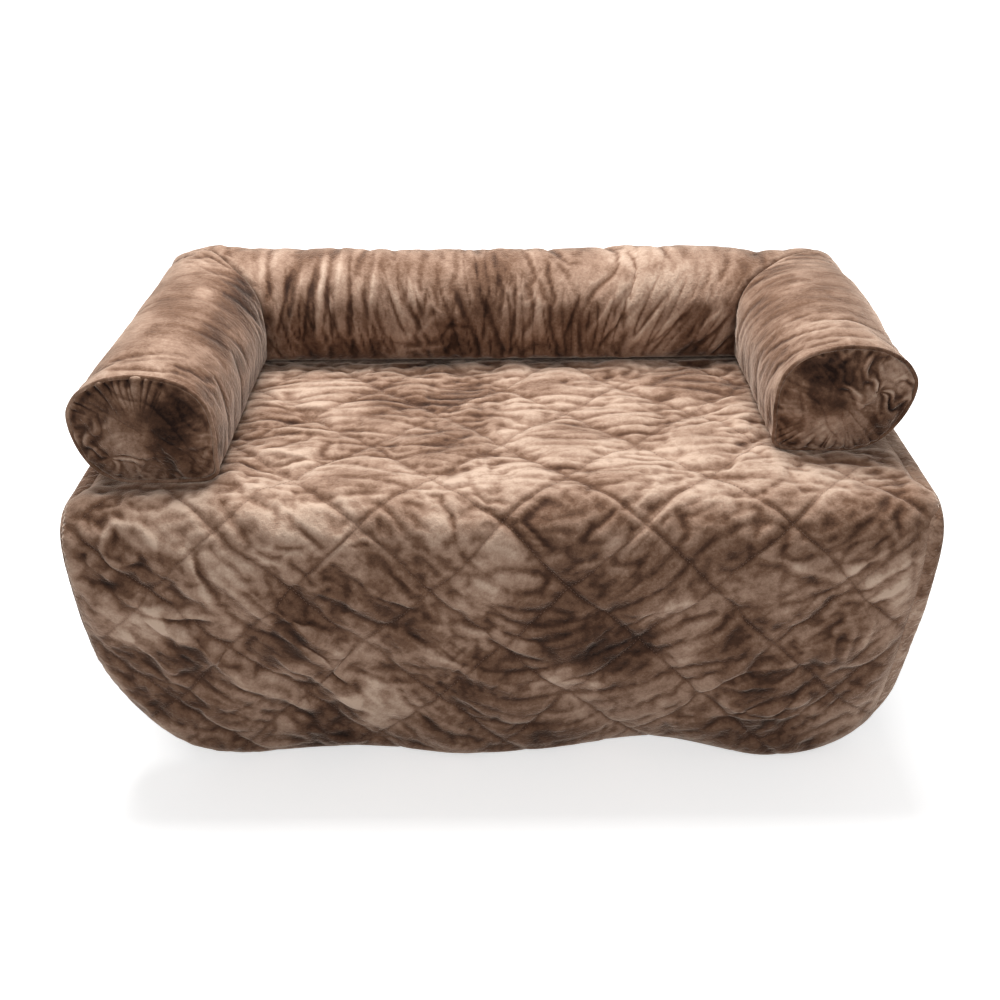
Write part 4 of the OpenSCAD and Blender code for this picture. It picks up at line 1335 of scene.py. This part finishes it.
# %% Tree that repeats a bead
def bead_tree(name, material, fineness):
    """Puts a ball of the given Size at each point, turned as the point says."""
    tree = bpy.data.node_groups.new(name, "GeometryNodeTree")
    tree.interface.new_socket("Geometry", in_out="INPUT", socket_type="NodeSocketGeometry")
    size = tree.interface.new_socket("Size", in_out="INPUT", socket_type="NodeSocketVector")
    tree.interface.new_socket("Geometry", in_out="OUTPUT", socket_type="NodeSocketGeometry")
    source = tree.nodes.new("NodeGroupInput")
    result = tree.nodes.new("NodeGroupOutput")
    along, facing = (add(tree, "GeometryNodeInputNamedAttribute", {"Name": noted_as},
                         data_type="FLOAT_VECTOR").outputs["Attribute"]
                     for noted_as in ("along", "facing"))
    turn = add(tree, "FunctionNodeAlignRotationToVector", {"Vector": facing}, axis="Z")
    turn = add(tree, "FunctionNodeAlignRotationToVector",
               {"Rotation": turn.outputs[0], "Vector": along}, axis="X", pivot_axis="Z")
    ball = add(tree, "GeometryNodeMeshIcoSphere", {"Radius": 0.5, "Subdivisions": fineness})
    beads = add(tree, "GeometryNodeInstanceOnPoints",
                {"Points": source.outputs["Geometry"], "Instance": ball.outputs["Mesh"],
                 "Rotation": turn.outputs[0], "Scale": source.outputs["Size"]})
    real = add(tree, "GeometryNodeRealizeInstances", {"Geometry": beads.outputs[0]})
    smooth = add(tree, "GeometryNodeSetShadeSmooth", {"Geometry": real.outputs[0]})
    finish = add(tree, "GeometryNodeSetMaterial",
                 {"Geometry": smooth.outputs[0], "Material": material})
    tree.links.new(finish.outputs[0], result.inputs["Geometry"])
    return tree, size.identifier


def sew(name, places, along, facing, size, material, fineness=1):
    """Puts a bead at each place and returns them as one plain mesh."""
    piece = make_piece(name, places, [])
    note(piece.data, "along", along)
    note(piece.data, "facing", facing)
    tree, size_input = bead_tree(name, material, fineness)
    repeat = piece.modifiers.new("Beads", "NODES")
    repeat.node_group = tree
    repeat[size_input] = [v * MM for v in size]
    bake(piece)
    for extra in ("along", "facing"):
        if extra in piece.data.attributes:
            piece.data.attributes.remove(piece.data.attributes[extra])
    print(name, "has", len(places), "beads")
    return piece


def speckled(name, dark, light, scale, detail, strength, depth):
    """A finish with fine noise in its tone and its surface, and that noise."""
    material, tree, skin = new_material(name)
    place = add(tree, "ShaderNodeTexCoord").outputs["Object"]
    speck = noise(tree, place, scale, detail)
    tree.links.new(ramp(tree, speck, [(0.3, dark), (0.7, light)]), skin.inputs["Base Color"])
    tree.links.new(bump(tree, speck, strength, depth), skin.inputs["Normal"])
    return material, tree, skin, speck


def thread_material(name, dark, light):
    material, _, skin, _ = speckled(name, dark, light, 900.0, 2.0, 0.4, 0.0003)
    skin.inputs["Roughness"].default_value = 0.7
    return material


thread = thread_material("thread", (92, 67, 53), (138, 108, 90))
rubber = thread_material("grip_rubber", (30, 26, 24), (46, 40, 37))
print("thread and rubber are ready")

# %% Stitches of the hem and the dots
def way_of(places):
    """The way that a closed row of places runs at each of them."""
    ahead = np.roll(places, -1, 0) - np.roll(places, 1, 0)
    return ahead / np.maximum(np.linalg.norm(ahead, axis=1), 1e-6)[:, None]


STITCH_PITCH, HEM_STITCH_IN, DOT_PITCH = 5.0, 23.6, 20.0
run = np.arange(0, edge_run[-1], STITCH_PITCH)
u, s = (np.interp(run, edge_run, v) for v in inward(HEM_STITCH_IN))
low, high = on_mat(u, s, 0.0), on_mat(u, s, 10.6)
facing = (high - low) / np.linalg.norm(high - low, axis=1)[:, None]
seen = hem_cover(u, s) < 6
hem_stitches = sew("hem_stitches", (high + facing * 0.5)[seen], way_of(high)[seen], facing[seen],
                   (3.6, 1.0, 1.0), thread)

dot_u, dot_s = np.meshgrid(np.arange(-520, 521, DOT_PITCH), np.arange(-550, 441, DOT_PITCH))
dot_u[1::2] += DOT_PITCH / 2
inside = room_inside(dot_u, dot_s) > 40
dot_u, dot_s = dot_u[inside], dot_s[inside]
low = on_mat(dot_u, dot_s, 0.6)
facing = on_mat(dot_u, dot_s, -0.4) - low
across = np.tile([1.0, 0.0, 0.0], (len(low), 1))
grip_dots = sew("grip_dots", low, across, facing, (5.0, 5.0, 1.6), rubber)

# %% Stitches of the quilting
CELL = 8


def seam_places():
    """Places along every seam of the diamonds, both ways across the mat."""
    run = np.arange(-1200, 1200, STITCH_PITCH) * (DIAMOND_W / math.hypot(DIAMOND_W, DIAMOND_L))
    for way in (-1, 1):
        for k in range(-8, 9):
            u = k * DIAMOND_W / 2 + run
            yield u, CROSSING_S + way * DIAMOND_L * (u / DIAMOND_W - k)


flat = marks["cloth"][:, :2]
cells = {}
for number, cell in enumerate((flat // CELL).astype(int).tolist()):
    cells.setdefault(tuple(cell), []).append(number)
skin_points, skin_out = read(quilt.data), read(quilt.data, "normal")
beads, ways, facings = [], [], []
for line in seam_places():
    u, s = (drawn + stray for drawn, stray in zip(line, wander(*line)))
    show = (room_inside(u, s) > HEM_W + 3) & (under_bolster(u, s) > 0.3)
    chain = []
    for pu, ps in zip(u[show], s[show]):
        cell_u, cell_s = int(pu // CELL), int(ps // CELL)
        near = [n for du in (-1, 0, 1) for ds in (-1, 0, 1)
                for n in cells.get((cell_u + du, cell_s + ds), ())]
        if not near:
            continue
        gap = np.hypot(flat[near, 0] - pu, flat[near, 1] - ps)
        best = np.argsort(gap)[:3]
        weight = 1 / (gap[best] + 0.3)
        weight /= weight.sum()
        pick = np.array(near)[best]
        chain.append((*(weight @ skin_points[pick]), *(weight @ skin_out[pick])))
    if len(chain) < 3:
        continue
    chain = np.array(chain)
    hop = np.gradient(chain[:, :3], axis=0)
    beads.append(chain[:, :3])
    ways.append(hop / np.maximum(np.linalg.norm(hop, axis=1), 1e-6)[:, None])
    facings.append(chain[:, 3:])
beads, ways, facings = (np.concatenate(v) for v in (beads, ways, facings))
quilt_stitches = sew("quilt_stitches", beads + facings * 0.2, ways, facings, (3.2, 0.7, 0.7),
                     thread)

# %% Bake the mat's pieces' places into their meshes
for piece in (quilt, hem, backing, hem_stitches, grip_dots, quilt_stitches):
    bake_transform(piece)

# %% [markdown]
# ## The zip
# The back bolster opens behind for washing. Its zip's stops, slider and pull
# keep their CAD shapes and get a better finish. The tapes are woven, and the
# teeth are one moulded tooth repeated along the chain by Geometry Nodes.

# %% Zip finishes
def metal(name, dark, light, rough, metallic=0.9):
    material, tree, skin, worn = speckled(name, dark, light, 260.0, 4.0, 0.2, 0.0002)
    tree.links.new(rescale(tree, worn, 0.3, 0.7, rough, rough + 0.15), skin.inputs["Roughness"])
    skin.inputs["Metallic"].default_value = metallic
    return material


zip_metal = metal("zip_metal", (92, 80, 66), (150, 134, 112), 0.32)
for node in ("zip_stops", "zip_slider", "zip_pull"):
    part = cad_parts[node]
    part.data.materials.clear()
    part.data.materials.append(zip_metal)
    soften = part.modifiers.new("Bevel", "BEVEL")
    soften.width, soften.segments, soften.limit_method = 0.00025, 2, "ANGLE"

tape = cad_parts["zip_tapes"]
tape.data.materials.clear()
tape.data.materials.append(thread_material("zip_tape_weave", (66, 48, 38), (104, 80, 66)))
teeth_low, teeth_high = (np.array(v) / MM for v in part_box("zip_teeth"))
pitch = 2.5
run = np.arange(teeth_low[0] + 1.5, teeth_high[0] - 1, pitch)
mid = (teeth_low + teeth_high) / 2
side = np.where(np.arange(len(run)) % 2, 0.8, -0.8)
places = np.stack([run, np.full(len(run), mid[1]), mid[2] + side], -1)
moulded = metal("zip_teeth", (112, 92, 76), (156, 132, 110), 0.4, metallic=0.0)
zip_teeth = sew("zip_teeth_row", places, np.tile([1.0, 0, 0], (len(run), 1)),
                np.tile([0, 1.0, 0], (len(run), 1)), (1.7, 3.4, 1.8), moulded, 2)
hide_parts("zip_teeth")
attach(zip_teeth, "bed")
print("teeth:", len(run))

# %% [markdown]
# ## Floor and light
# A plain pale floor at the level of the flap's lowest point takes the shadow,
# and a large soft lamp overhead does what a bright room does: the seat and the
# tops of the bolsters are pale, and the flap that hangs down is darker; the
# seat's paleness and the bolsters' paler tops are also painted light in the
# plush's tone. The floor shows white to the camera through Light Path, so no
# more light is needed on the bed for it.

# %% Floor, lamps and world
lowest = min(v.z for v in (hem.matrix_world @ w.co for w in hem.data.vertices))
FLOOR_HALF = 9000.0
corners = [(x * FLOOR_HALF, y * FLOOR_HALF, lowest / MM - 1.0)
           for x, y in ((-1, -1), (1, -1), (1, 1), (-1, 1))]
floor = make_piece("floor", corners, [(0, 1, 2, 3)])
pale, tree, skin = new_material("pale_floor")
skin.inputs["Base Color"].default_value = (0.86, 0.86, 0.86, 1)
skin.inputs["Roughness"].default_value = 0.9
place = add(tree, "ShaderNodeTexCoord").outputs["Object"]
away = add(tree, "ShaderNodeVectorMath", {0: place}, operation="LENGTH").outputs["Value"]
seen = add(tree, "ShaderNodeLightPath").outputs["Is Camera Ray"]
lift = sums(tree, "MULTIPLY", rescale(tree, away, 0.5, 2.2, 0.52, 0.9), seen)
skin.inputs["Emission Color"].default_value = (1, 1, 1, 1)
tree.links.new(lift, skin.inputs["Emission Strength"])
floor.data.materials.append(pale)
floor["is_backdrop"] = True


def soft_lamp(name, energy, size, place, tilt):
    light = bpy.data.lights.new(name, "AREA")
    light.energy, light.shape, (light.size, light.size_y) = energy, "RECTANGLE", size
    lamp = bpy.data.objects.new(name, light)
    lamp.location = place
    lamp.rotation_euler = [math.radians(v) for v in tilt]
    bpy.context.scene.collection.objects.link(lamp)


soft_lamp("overhead", 74, (1.7, 1.0), (-0.25, 0.55, 1.95), (-16, -5, 0))
soft_lamp("front", 16, (2.0, 1.2), (0.4, -2.4, 1.3), (62, 0, 8))
world = bpy.data.worlds.new("studio")
bpy.context.scene.world = world
world.use_nodes = True
tree = world.node_tree
sky = tree.nodes["Background"]
sky.inputs["Color"].default_value = (1, 1, 1, 1)
path = add(tree, "ShaderNodeLightPath")
clear = sums(tree, "MAXIMUM", path.outputs["Is Camera Ray"], path.outputs["Is Glossy Ray"])
tree.links.new(rescale(tree, clear, 0, 1, 0.34, 1.0, soft=False), sky.inputs["Strength"])
print("floor at", round(lowest, 4))

# %% [markdown]
# ## Sizes
# The dressed bed's box is set beside the CAD model's.

# %% Finish
visual_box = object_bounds()
for name, low, high in (("cad", *cad_box), ("visual", *visual_box)):
    print(name, [round(float(v), 3) for v in low], [round(float(v), 3) for v in high])
